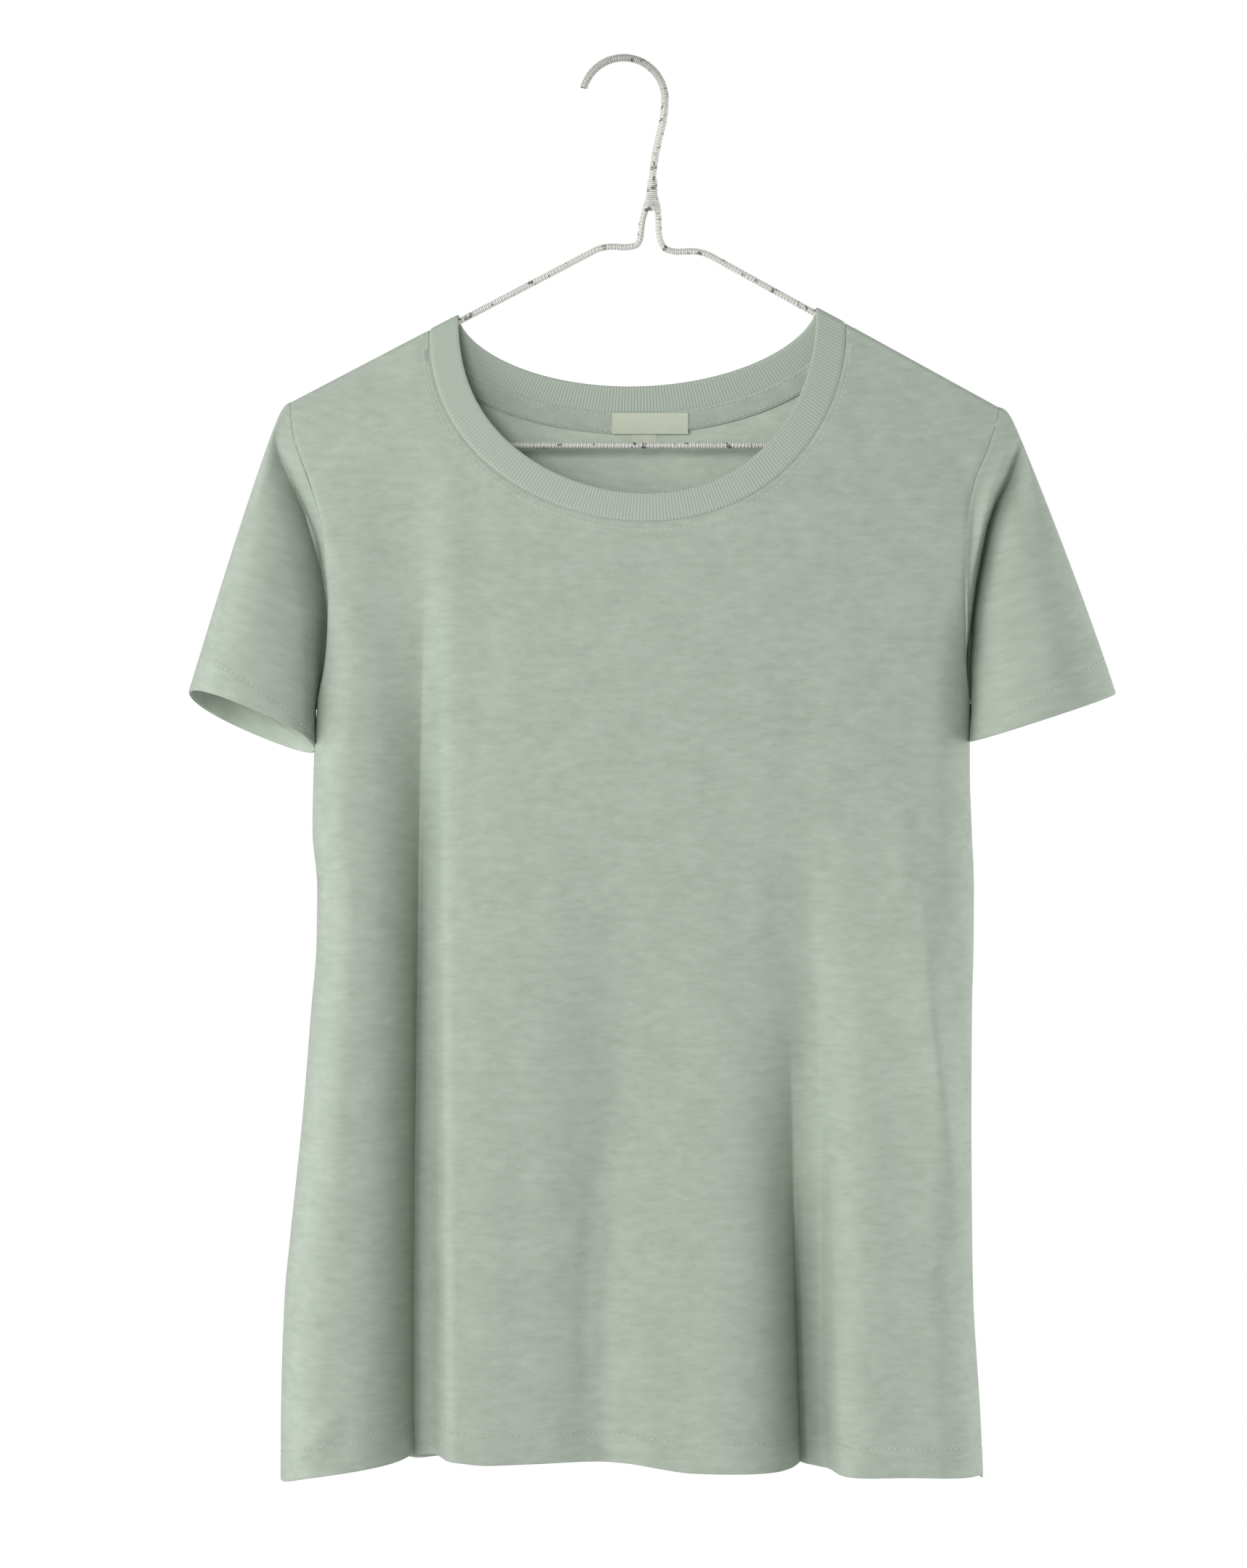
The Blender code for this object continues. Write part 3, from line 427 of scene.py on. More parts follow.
SLEEVE_ROUND = 176.0


def hermite(t, start, end, leave, arrive):
    """A cubic curve from start to end as t goes from 0 to 1, with its slope at either end."""
    return (
        start * (2 * t**3 - 3 * t**2 + 1)
        + end * (3 * t**2 - 2 * t**3)
        + leave * (t**3 - 2 * t**2 + t)
        + arrive * (t**3 - t**2)
    )


def through(rows, place, value):
    """A smooth curve through one column of a table, flat past both ends. It never overshoots."""
    pairs = sorted((getattr(row, place), getattr(row, value)) for row in rows)
    x, y = np.array(pairs, float).T
    step = np.diff(x)
    slope = np.diff(y) / step
    before, after = slope[:-1], slope[1:]
    even = before * after > 0
    first, second = 2 * step[1:] + step[:-1], step[1:] + 2 * step[:-1]
    parts = first / np.where(even, before, 1.0) + second / np.where(even, after, 1.0)
    tangent = np.zeros_like(y)
    tangent[1:-1] = np.where(even, (first + second) / np.where(even, parts, 1.0), 0.0)

    def at(where):
        where = np.clip(where, x[0], x[-1])
        i = np.clip(np.searchsorted(x, where, side="right") - 1, 0, len(step) - 1)
        t = (where - x[i]) / step[i]
        return hermite(t, y[i], y[i + 1], step[i] * tangent[i], step[i] * tangent[i + 1])

    return at


side_left = through(RINGS, "z", "left")
side_right = through(RINGS, "z", "right")
side_turn = through(RINGS, "z", "turn")
stand = {face: through(DEPTHS, "drop", face) for face in OUTWARD}
hem_level = {face: through(HEM, "x", face) for face in OUTWARD}
seam_inset = {
    (hand, face): through(rows, "z", face)
    for hand, rows in ((-1, LEFT_ARMHOLE), (1, RIGHT_ARMHOLE))
    for face in OUTWARD
}
fold_curves = {
    face: [
        {name: through(rows, "z", name) for name in ("x", "depth", "left_reach", "right_reach")}
        for rows in folds
    ]
    for face, folds in FOLDS.items()
}


def steps(runs):
    """The divisions that a table of runs gives, end to end."""
    parts = [np.linspace(run.start, run.end, run.steps, endpoint=False) for run in runs]
    return np.append(np.concatenate(parts), runs[-1].end)


def shoulder_level(x):
    """The top of the cloth over the hanger, level across the throat."""
    clear = WRAP_RADIUS * math.hypot(1.0, LEFT_ARM.slope)
    left = LEFT_ARM.start_z + LEFT_ARM.slope * (x - LEFT_ARM.start_x) + clear
    right = RIGHT_ARM.start_z - RIGHT_ARM.slope * (x - RIGHT_ARM.start_x) + clear
    total = sum(np.exp(-(level - THROAT_LEVEL) / RIDGE_BLEND) for level in (left, right))
    return THROAT_LEVEL - RIDGE_BLEND * np.log1p(total)


def ring_length(z):
    """How long the cloth is across one face of the body at a level, sides included."""
    return side_right(z) - side_left(z) + (math.pi - 2) * side_turn(z)


def across_of(x, z):
    """The place along the cloth, from the middle, of a point away from the rounded sides."""
    turn = side_turn(z)
    return x - side_left(z) + (math.pi / 2 - 1) * turn - ring_length(z) / 2


def sech(x):
    """A soft bell, 1 in the middle and nothing far from it."""
    return 2.0 / (np.exp(np.abs(x)) + np.exp(-np.abs(x)))


def pressed_in(face, x, z):
    """How far the folds press a face of the body in."""
    total = np.zeros_like(x)
    for fold in fold_curves[face]:
        offset = x - fold["x"](z)
        reach = np.where(offset < 0, fold["left_reach"](z), fold["right_reach"](z))
        total = total + fold["depth"](z) * sech(offset / reach)
    return total


def body_point(face, across, z):
    """The outer surface of the body's front or back: across runs along the cloth, z down it."""
    across, z = np.broadcast_arrays(np.asarray(across, float), np.asarray(z, float))
    turn = side_turn(z)
    half = ring_length(z) / 2
    left_angle = np.minimum((across + half) / turn, math.pi / 2)
    right_angle = np.minimum((half - across) / turn, math.pi / 2)
    flat = across + half - (math.pi / 2 - 1) * turn + side_left(z)
    x = np.where(left_angle < math.pi / 2, side_left(z) + turn * (1 - np.cos(left_angle)), flat)
    x = np.where(right_angle < math.pi / 2, side_right(z) - turn * (1 - np.cos(right_angle)), x)
    swell = np.sin(left_angle) * np.sin(right_angle)
    drop = np.maximum(shoulder_level(x) - z, 0.0)
    over = np.clip(1 - drop / WRAP_RADIUS, 0.0, 1.0)
    depth = stand[face](drop) * np.sqrt(1 - over**2)
    y = OUTWARD[face] * swell * (depth - pressed_in(face, x, z))
    return np.stack([x, y, z], axis=-1)


def unit(vectors):
    """The same directions at length 1."""
    return vectors / np.linalg.norm(vectors, axis=-1, keepdims=True)


def body_facing(face, across, z):
    """The outward direction of the body's surface."""
    along = body_point(face, across + TINY, z) - body_point(face, across - TINY, z)
    down = body_point(face, across, z - TINY) - body_point(face, across, z + TINY)
    return unit(OUTWARD[face] * np.cross(along, down))


def body_at(face, x, z):
    """The body's outer surface and its facing there, away from the rounded sides."""
    across = across_of(x, z)
    return body_point(face, across, z), body_facing(face, across, z)


def neck_top(neck, x):
    """The height at x of a straight line between the neck's two ends on the shoulders."""
    left_top, right_top = shoulder_level(neck.left), shoulder_level(neck.right)
    return left_top + (right_top - left_top) * (x - neck.left) / (neck.right - neck.left)


def neck_point(neck, turn):
    """(x, z) on a half ellipse below the shoulder line, as turn goes from 0, left, to 1, right."""
    angle = math.pi * turn
    middle, half = (neck.left + neck.right) / 2, (neck.right - neck.left) / 2
    x = middle - half * np.cos(angle)
    z = neck_top(neck, x) - neck.drop * np.sin(angle) ** (2 / neck.power)
    return x + neck.lean * np.sin(angle) ** 3, z


def tip_place(face, hand):
    """(across, z) of a shoulder's outer end, where the armhole starts."""
    z = float(shoulder_level(np.array(LEFT_TIP if hand < 0 else RIGHT_TIP)))
    return seam_line(face, hand, z), z


def level_x(across, z):
    """The x of a place along the cloth, away from the rounded sides."""
    return across + ring_length(z) / 2 - (math.pi / 2 - 1) * side_turn(z) + side_left(z)


def seam_line(face, hand, z):
    """The across place of a panel's own side: its armhole and, below that, its side seam."""
    return hand * (ring_length(z) / 2 - seam_inset[hand, face](z) - SEAM_GAP / 2)


def top_edge(face, neck, share):
    """(across, z) along a panel's top: shoulder, neck seam, shoulder."""
    turn = np.clip((share - NECK_START) / (NECK_END - NECK_START), 0.0, 1.0)
    x, z = neck_point(neck, turn)
    left_x = level_x(*tip_place(face, -1))
    right_x = level_x(*tip_place(face, 1))
    along_left = left_x + (neck.left - left_x) * share / NECK_START
    along_right = right_x + (neck.right - right_x) * (1 - share) / (1 - NECK_END)
    x = np.where(share < NECK_START, along_left, np.where(share > NECK_END, along_right, x))
    on_shoulder = (share <= NECK_START) | (share >= NECK_END)
    z = np.where(on_shoulder, shoulder_level(x), z)
    return across_of(x, z), z


def band_top(face, share):
    """(across, z) along the top of a panel's hem band."""
    x = side_left(HEM_AT) + share * (side_right(HEM_AT) - side_left(HEM_AT))
    z = hem_level[face](x) + HEM_DEPTH
    if face == "back":
        z = z + BACK_LIFT * dip(x - BACK_LIFT_AT, BACK_LIFT_REACH)
    return (2 * share - 1) * (ring_length(z) / 2 - SEAM_GAP / 2), z


def panel_grid(face, neck, share, fall):
    """(across, z) of a panel's grid: it fills the space inside its four edges, then adds the hem."""
    share, fall = np.meshgrid(share, fall)
    left_z, right_z = (
        tip_place(face, hand)[1] * (1 - fall) + band_top(face, np.array(end))[1] * fall
        for hand, end in ((-1, 0.0), (1, 1.0))
    )
    lefts = (seam_line(face, -1, left_z), left_z)
    rights = (seam_line(face, 1, right_z), right_z)
    grid = []
    for top, foot, left, right in zip(
        top_edge(face, neck, share), band_top(face, share), lefts, rights
    ):
        lengthwise = (1 - fall) * top + fall * foot
        # How far each side bends from a straight line, which dies out well before the neck
        left_bend = left - (1 - fall) * left[0, 0] - fall * foot[0, 0]
        right_bend = right - (1 - fall) * right[0, 0] - fall * foot[0, -1]
        grid.append(lengthwise + (1 - share) ** SIDE_REACH * left_bend + share**SIDE_REACH * right_bend)
    across, z = grid
    # The grid's columns are drawn onto each pinched crease, so that its bottom runs along one
    for crease in (found for found in CREASES[face] if found.pinched):
        fallen = (z - crease.z_top) / (crease.z_low - crease.z_top)
        bend = crease.bow * np.sin(math.pi * np.clip(fallen, 0.0, 1.0))
        line = crease.x_top + fallen * (crease.x_low - crease.x_top) - bend
        off = across_of(line, z) - across
        column = np.abs(off[-1]).argmin()
        started = ramp(crease.z_top - z, -PINCH_START[0], PINCH_START[1])
        drawn = dip(share - share[0, column], PINCH_PULL)
        across = across + started * off[:, column : column + 1] * drawn
    foot = z[-1]
    z = np.vstack([z, *(foot - below for below in HEM_ROWS)])
    return np.vstack([across, *[across[-1]] * len(HEM_ROWS)]), z


def sleeve_start(sleeve, turn):
    """The sleeve's end of the armhole seam, with the body's facing and outward run there. Turn
    goes from the shoulder down the front to the underarm and up the back."""
    down = 1 - np.abs(1 - 2 * turn)
    ease = (1 - np.cos(math.pi * down)) / 2
    starts, facings, tangents = {}, {}, {}
    for face in OUTWARD:
        top_z = tip_place(face, sleeve.hand)[1]
        z = top_z + (UNDERARM + ARMHOLE_GAP - top_z) * ease
        inset = seam_inset[sleeve.hand, face](z)
        inset = inset - np.minimum(ARMHOLE_GAP, inset / 3)
        across = sleeve.hand * (ring_length(z) / 2 - inset)
        out = sleeve.hand * TINY
        starts[face], facings[face] = body_point(face, across, z), body_facing(face, across, z)
        tangents[face] = unit(body_point(face, across + out, z) - body_point(face, across - out, z))
    front = (turn <= 0.5)[..., None]
    return tuple(np.where(front, found["front"], found["back"]) for found in (starts, facings, tangents))


def sleeve_end(sleeve, turn):
    """The sleeve's hem: a soft oval that hangs from its outer corner to its inner one."""
    cosine, sine = np.cos(2 * math.pi * turn), np.sin(2 * math.pi * turn)
    along = np.sign(cosine) * np.abs(cosine) ** (2 / SLEEVE_SQUARENESS)
    round_ = np.sign(sine) * np.abs(sine) ** (2 / SLEEVE_SQUARENESS)
    middle = [(a + b) / 2 for a, b in zip(sleeve.outer, sleeve.inner)]
    half = [(a - b) / 2 for a, b in zip(sleeve.outer, sleeve.inner)]
    x = middle[0] + half[0] * along
    z = middle[1] + half[1] * along + sleeve.lift * round_
    return np.stack([x, -sleeve.depth * round_, z], axis=-1)


def ramp(value, low, high):
    """0 up to low, 1 from high, and a smooth rise between."""
    share = np.clip((value - low) / (high - low), 0.0, 1.0)
    return share * share * (3 - 2 * share)


def sleeve_point(sleeve, turn, along):
    """The outer surface of a sleeve, from its armhole, along 0, to its hem, along 1."""
    turn, along = np.broadcast_arrays(np.asarray(turn, float) % 1.0, np.asarray(along, float))
    down = 1 - np.abs(1 - 2 * turn)
    start, _, tangent = sleeve_start(sleeve, turn)
    end = sleeve_end(sleeve, turn)
    outwards, outer_fall, inner_fall = (
        np.array(direction) * (sleeve.hand, 1.0, 1.0) for direction in (CROWN_LEAN, OUTER_FALL, INNER_FALL)
    )
    with_body = np.sin(math.pi * down)[..., None]
    leave = unit(with_body * tangent + (1 - with_body) * outwards)
    inner_share = (1 - np.cos(2 * math.pi * turn))[..., None] / 2
    arrive = unit(outer_fall + (inner_fall - outer_fall) * inner_share)
    length = np.linalg.norm(end - start, axis=-1, keepdims=True)
    first_pull = (CROWN_PULL + (UNDERARM_PULL - CROWN_PULL) * down[..., None] ** 2) * length
    last_pull = HEM_PULL * length
    point = hermite(along[..., None], start, end, leave * first_pull, arrive * last_pull)
    place = along / VALLEY_PLACE
    hollow = (place * np.exp(1 - place)) ** 2
    beside = ramp(down, *VALLEY_START) * (1 - ramp(down, *VALLEY_STOP))
    press = np.where(turn <= 0.5, sleeve.valley, -sleeve.back_valley)
    point[..., 1] += press * hollow * beside
    place = along / CROWN_PLACE
    swell = place * np.exp(1 - place) * (1 - ramp(down, *CROWN_FADE))
    point[..., 0] += sleeve.hand * sleeve.crown * swell
    return point


def sleeve_facing(sleeve, turn, along):
    """The outward direction of a sleeve's surface, shared with the body's at the armhole seam."""
    share = TINY / 200
    near = np.clip(along, SEAM_LOOK, 1.0 - share)
    lengthwise = sleeve_point(sleeve, turn, near + share) - sleeve_point(sleeve, turn, near - share)
    around = sleeve_point(sleeve, turn + share, near) - sleeve_point(sleeve, turn - share, near)
    own = unit(sleeve.hand * np.cross(around, lengthwise))
    body = sleeve_start(sleeve, turn % 1.0)[1]
    at_seam = (along <= 0.0)[..., None]
    return unit(own + np.where(at_seam, body, 0.0))


def neck_strip(face, seam, edge, turn, rise):
    """Outer points and facings of a strip along the neck: rise is 0 at the seam and 1 at the edge."""
    turn, rise = np.meshgrid(turn, rise)
    seam_x, seam_z = neck_point(seam, turn)
    edge_x, edge_z = neck_point(edge, turn)
    x = seam_x + (edge_x - seam_x) * rise
    z = seam_z + (edge_z - seam_z) * rise
    return body_at(face, x, z)


def hook_route():
    """The hook's arc from its tip, then the stem down to where the legs part."""
    centre_z = HOOK_WIRE_RADIUS - HOOK_RADIUS
    angles = np.linspace(HOOK_TIP_ANGLE, 0.0, HOOK_STEPS + 1)
    arc = [(HOOK_RADIUS * math.cos(a), centre_z + HOOK_RADIUS * math.sin(a)) for a in angles]
    stem = through(STEM, "z", "x")
    heights = np.linspace(centre_z, STEM[-1].z, STEM_STEPS + 1)[1:]
    return arc + [(float(stem(z)), z) for z in heights]


def end_bend(arm, hand):
    """The rounded end of the hanger, from its arm to its bar."""
    radius = arm.end_radius
    centre = (arm.end_x - hand * radius, BAR_LEVEL + radius)
    lean = math.atan(arm.slope)
    angles = np.linspace(math.pi / 2 - lean, -math.pi / 2, BEND_STEPS + 1)
    return [
        (centre[0] + hand * radius * math.cos(a), centre[1] + radius * math.sin(a)) for a in angles
    ]


def crease_relief(creases, x, z):
    """How far small creases press the cloth in, each fading out at both ends."""
    total = np.zeros(np.broadcast(x, z).shape)
    for crease in creases:
        run_x, run_z = crease.x_low - crease.x_top, crease.z_low - crease.z_top
        length = math.hypot(run_x, run_z)
        along = ((x - crease.x_top) * run_x + (z - crease.z_top) * run_z) / length**2
        beside = ((x - crease.x_top) * run_z - (z - crease.z_top) * run_x) / length
        beside = beside - crease.bow * np.sin(math.pi * np.clip(along, 0.0, 1.0))
        fade = ramp(along, -0.1, 0.3) * (1 - ramp(along, 0.7, 1.1))
        reach = np.where(beside > 0, crease.near or crease.reach, crease.reach)
        if crease.pinched:
            # It starts broad and shallow, and narrows as it deepens
            away = np.hypot(beside, PINCH_ROUNDING) - PINCH_ROUNDING
            total += crease.depth * fade * np.exp(-away / (reach * (3 - 2 * fade)))
        else:
            total += crease.depth * fade * np.exp(-((beside / reach) ** 2))
    return total


def dip(distance, reach):
    """A soft dip that is 1 where the distance is nought."""
    return np.exp(-((distance / reach) ** 2))


def new_piece(name, points, faces, material, layout=None):
    """A smooth mesh piece from points in millimetres, its faces turned outwards. The layout is
    each corner's place on the flat cloth, and becomes a UV map in metres."""
    mesh = bpy.data.meshes.new(name)
    mesh.from_pydata((np.array(points) * MM).tolist(), [], faces)
    if layout is not None:
        layer = mesh.uv_layers.new(name="Cloth")
        layer.data.foreach_set("uv", (layout * MM).astype(np.float32).ravel())
    shape = bmesh.new()
    shape.from_mesh(mesh)
    bmesh.ops.recalc_face_normals(shape, faces=shape.faces)
    shape.to_mesh(mesh)
    shape.free()
    mesh.shade_smooth()
    mesh.materials.append(material)
    piece = bpy.data.objects.new(name, mesh)
    bpy.context.scene.collection.objects.link(piece)
    return piece


def wall(name, outer, inner, cloth_map, material, closed=False, reverse=None):
    """A thin closed wall between two grids of points, with its cloth laid out flat.
    Its inner side takes a second material, if one is given: the jersey's paler copy, painted light for the
    inside of the garment."""
    rows, columns = outer.shape[:2]
    count = rows * columns
    index = np.arange(count).reshape(rows, columns)
    if closed:
        index = np.column_stack([index, index[:, :1]])
    spot = np.arange(index.size).reshape(index.shape)

    def quads(grid):
        corners = [grid[:-1, :-1], grid[:-1, 1:], grid[1:, 1:], grid[1:, :-1]]
        return np.stack(corners, axis=-1).reshape(-1, 4)

    skin, skin_spots = quads(index), quads(spot)
    ends = [(0, slice(None), False), (-1, slice(None), True)]
    if not closed:
        ends += [(slice(None), 0, True), (slice(None), -1, False)]
    rims, rim_spots = [], []
    for row, column, turned in ends:
        for grid, found, lift in ((index, rims, count), (spot, rim_spots, 0)):
            line = grid[row, column]
            first, second = (line[1:], line[:-1]) if turned else (line[:-1], line[1:])
            found.append(np.column_stack([second, first, first + lift, second + lift]))
    faces = np.concatenate([skin, skin[:, ::-1] + count, *rims])
    spots = np.concatenate([skin_spots, skin_spots[:, ::-1], *rim_spots])
    points = np.concatenate([outer.reshape(-1, 3), inner.reshape(-1, 3)])
    layout = cloth_map.reshape(-1, 2)[spots.reshape(-1)]
    piece = new_piece(name, points, faces.tolist(), material, layout)
    piece.data.set_sharp_from_angle(angle=CREASE_ANGLE)
    # The inner side's second material is a paler copy of the jersey: painted light
    if reverse:
        piece.data.materials.append(reverse)
        side = np.zeros(len(faces), np.int32)
        side[len(skin) : 2 * len(skin)] = 1
        piece.data.polygons.foreach_set("material_index", side)
    return piece


def lengths_along(points):
    """The distance along a line of points, from its first."""
    return np.concatenate([[0.0], np.cumsum(np.linalg.norm(np.diff(points, axis=0), axis=-1))])


def stitches(context, name, rows):
    """Rows of small sewn stitches as one piece. Each row is its points and the cloth's facings there."""
    sizes = context.scene.tee_sizes
    length, gap, thickness = (size / MM for size in (sizes.stitch_length, sizes.stitch_gap, sizes.thread))
    verts, faces = [], []
    turn = 2 * math.pi * np.arange(STITCH_AROUND) / STITCH_AROUND
    for points, facings in rows:
        place = lengths_along(points)
        for centre in np.arange(gap + length / 2, place[-1] - length / 2, length + gap):
            spot, ahead, up = (
                np.array([np.interp(where, place, values[:, i]) for i in range(3)])
                for where, values in ((centre, points), (centre + 0.1, points), (centre, facings))
            )
            along = unit(ahead - spot)
            up = unit(up - along * (up @ along))
            side = np.cross(along, up)
            spot = spot + STITCH_RISE * thickness * up
            start = len(verts)
            for ring in STITCH_RINGS:
                wide = thickness / 2 * math.sqrt(1 - ring**2)
                middle = spot + along * ring * length / 2
                verts += [middle + wide * (math.cos(a) * side + STITCH_FLAT * math.sin(a) * up) for a in turn]
            low = len(verts)
            last = low - STITCH_AROUND
            verts += [spot - along * length / 2, spot + along * length / 2]
            for i in range(STITCH_AROUND):
                j = (i + 1) % STITCH_AROUND
                for a in range(start, last, STITCH_AROUND):
                    b = a + STITCH_AROUND
                    faces.append((a + i, a + j, b + j, b + i))
                faces += [(start + j, start + i, low), (last + i, last + j, low + 1)]
    return settle(new_piece(name, verts, faces, finish(context, "spun_sewing_thread")))


def linear_of(code):
    """An sRGB hex colour as linear light."""
    parts = [int(code[i : i + 2], 16) / 255 for i in (1, 3, 5)]
    return tuple(c / 12.92 if c <= 0.04045 else ((c + 0.055) / 1.055) ** 2.4 for c in parts)


def node(tree, kind, inputs=None, **settings):
    """Adds a node with its settings, and with values or links on its inputs."""
    made = tree.nodes.new(kind)
    for name, value in settings.items():
        setattr(made, name, value)
    for name, value in (inputs or {}).items():
        if isinstance(value, bpy.types.NodeSocket):
            tree.links.new(value, made.inputs[name])
        else:
            made.inputs[name].default_value = value
    return made


def new_finish(name):
    material = bpy.data.materials.new(name)
    material.use_nodes = True
    return material, material.node_tree, material.node_tree.nodes["Principled BSDF"]


def set_inputs(shader, values):
    for name, value in values.items():
        shader.inputs[name].default_value = value


def maths(tree, operation, *values):
    """The result of a math node on those values or links."""
    return node(tree, "ShaderNodeMath", dict(enumerate(values)), operation=operation).outputs[0]


def spread(tree, value, low, high, to_low=0.0, to_high=1.0):
    """A value between low and high, spread over another span."""
    span = {"Value": value, "From Min": low, "From Max": high, "To Min": to_low, "To Max": to_high}
    return node(tree, "ShaderNodeMapRange", span).outputs[0]


def grain(tree, places, scale, detail=1.0, **more):
    """Noise over those places."""
    inputs = {"Vector": places, "Scale": scale, "Detail": detail, **more}
    return node(tree, "ShaderNodeTexNoise", inputs).outputs["Fac"]


def cloth_places(tree):
    """The places on the flat cloth, in metres, and the node that parts them into X and Y."""
    cloth = node(tree, "ShaderNodeUVMap", uv_map="Cloth").outputs["UV"]
    return cloth, node(tree, "ShaderNodeSeparateXYZ", {"Vector": cloth})


def object_places(tree):
    return node(tree, "ShaderNodeTexCoord").outputs["Object"]


def drawn_out(tree, cloth, long, tall, seed=0.0):
    """The cloth's places, counted in streaks of that length and height in millimetres."""
    scale = (1 / (long * MM), 1 / (tall * MM), 1.0)
    laid = {"Vector": cloth, "Scale": scale, "Location": (seed, seed, 0)}
    return node(tree, "ShaderNodeMapping", laid).outputs[0]


def ripple(tree, parted, axis, pitch):
    """An even wave along one axis of the cloth, from -1 to 1."""
    return maths(tree, "SINE", maths(tree, "MULTIPLY", parted.outputs[axis], 2 * math.pi / pitch))


def colour_by(tree, shader, share, dark, light):
    """Colours a finish from dark, where the share is 0, to light, where it is 1."""
    inputs = {"Factor": share, "A": (*dark, 1.0), "B": (*light, 1.0)}
    mix = node(tree, "ShaderNodeMix", inputs, data_type="RGBA")
    tree.links.new(mix.outputs["Result"], shader.inputs["Base Color"])


def raise_by(tree, shader, height, strength, distance):
    inputs = {"Height": height, "Strength": strength, "Distance": distance}
    tree.links.new(node(tree, "ShaderNodeBump", inputs).outputs[0], shader.inputs["Normal"])


def slub_jersey(name, colours, sizes, light="jersey_light", dark="jersey_dark"):
    """Thin cotton jersey with slub yarns: matt and slightly hairy, with short pale and dark
    streaks along the courses where the yarn swells, and fine wales down it. The paler copy for the
    inside of the garment is painted light, standing in for light that the stage doesn't bring in there."""
    material, tree, shader = new_finish(name)
    cloth, parted = cloth_places(tree)

    def streaks(kind, onto=0.0):
        places = drawn_out(tree, cloth, kind.long, kind.tall, kind.seed)
        return maths(tree, "MULTIPLY_ADD", grain(tree, places, 1.0, 2.0, Roughness=0.6), kind.weight, onto)

    slub = streaks(LONG_STREAKS, streaks(SHORT_STREAKS))
    share = spread(tree, streaks(CLOUDS, slub), *STREAK_SPAN)
    colour_by(tree, shader, share, getattr(colours, dark), getattr(colours, light))
    # The wales and courses of the knit, drawn a little coarser than real ones so that they show
    pitches = (("X", sizes.wale_pitch), ("Y", sizes.course_pitch))
    knit = maths(tree, "MULTIPLY", *(ripple(tree, parted, axis, pitch) for axis, pitch in pitches))
    raise_by(tree, shader, maths(tree, "MULTIPLY_ADD", knit, KNIT_SHARE, slub), 0.07, 0.0004)
    set_inputs(
        shader, {"Roughness": 0.95, "Specular IOR Level": 0.25, "Sheen Weight": 0.05, "Sheen Roughness": 0.5}
    )
    return material


def fine_rib(name, colours, sizes):
    """One by one rib knit for the neck band: even fine ridges across the band, matt. Its colour is darker
    where its relief is low: painted shade in the grooves.
    """
    material, tree, shader = new_finish(name)
    cloth, parted = cloth_places(tree)
    noise = grain(tree, drawn_out(tree, cloth, 2.2, 1.4), 1.0, 2.0)
    height = maths(tree, "ADD", ripple(tree, parted, "X", sizes.rib_pitch), noise)
    # The low grooves take the darker colour: painted shade
    colour_by(tree, shader, spread(tree, height, -0.7, 1.7), colours.rib_groove_painted_shade, colours.rib_light)
    raise_by(tree, shader, height, 0.35, 0.0003)
    set_inputs(shader, {"Roughness": 0.92, "Specular IOR Level": 0.25, "Sheen Weight": 0.05})
    return material


def spun_thread(name, colours, sizes):
    """Spun polyester sewing thread: a touch paler than the cloth, with a faint gloss."""
    material, tree, shader = new_finish(name)
    colour_by(tree, shader, grain(tree, object_places(tree), 900.0), colours.thread_dark, colours.thread)
    set_inputs(shader, {"Roughness": 0.6})
    return material


def woven_label(name, colours, sizes):
    """Damask label ribbon: close horizontal picks with a soft satin sheen. Its colour is darker where the
    weave is low: painted shade.
    """
    material, tree, shader = new_finish(name)
    parted = cloth_places(tree)[1]
    weave = (ripple(tree, parted, axis, pitch * MM) for axis, pitch in (("X", 0.9), ("Y", 0.6)))
    height = maths(tree, "ADD", *weave)
    # The weave's low parts take the darker colour: painted shade
    colour_by(tree, shader, spread(tree, height, -2.0, 2.0), colours.label_weave_painted_shade, colours.label)
    raise_by(tree, shader, height, 0.25, 0.0001)
    set_inputs(shader, {"Roughness": 0.55, "Sheen Weight": 0.15})
    return material


def winding_cord(name, colours, sizes):
    """Pale cotton cord wound round the wire, with grey flecks where it is worn and soiled."""
    material, tree, shader = new_finish(name)
    places = object_places(tree)
    flecks = spread(tree, grain(tree, places, 290.0), 0.61, 0.7)
    # The cord turns greyer towards the top of the hook
    height = node(tree, "ShaderNodeSeparateXYZ", {"Vector": places}).outputs["Z"]
    greyer_near_top = spread(tree, height, -0.035, -0.004, to_high=0.38)
    colour_by(tree, shader, maths(tree, "MAXIMUM", flecks, greyer_near_top), colours.cord, colours.fleck)
    set_inputs(shader, {"Roughness": 0.75})
    return material


def galvanised_wire(name, colours, sizes):
    """Drawn and galvanised steel wire, dull grey, seen between the turns of cord."""
    material, tree, shader = new_finish(name)
    rough = spread(tree, grain(tree, object_places(tree), 400.0, 2.0), 0.0, 1.0, 0.35, 0.55)
    tree.links.new(rough, shader.inputs["Roughness"])
    set_inputs(shader, {"Base Color": (*colours.wire, 1.0), "Metallic": 1.0})
    return material


FINISHES = {
    "slub_jersey": slub_jersey,
    # A paler copy of the jersey for the inside: painted light, for light that the stage doesn't bring in
    # there
    "slub_jersey_reverse": partial(slub_jersey, light="reverse", dark="painted_light_inside_dark"),
    "fine_rib_knit": fine_rib,
    "spun_sewing_thread": spun_thread,
    "woven_label_ribbon": woven_label,
    "wound_cotton_cord": winding_cord,
    "galvanised_steel_wire": galvanised_wire,
}


def finish(context, name):
    """The material of that name, made the first time that a piece asks for it."""
    scene = context.scene
    return bpy.data.materials.get(name) or FINISHES[name](name, scene.tee_colours, scene.tee_sizes)


def settle(piece, node_name=None):
    """Gives a finished piece its body, and hides the solid that it stands for, if there is one."""
    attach(piece, "root")
    if node_name:
        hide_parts(node_name)
    return piece


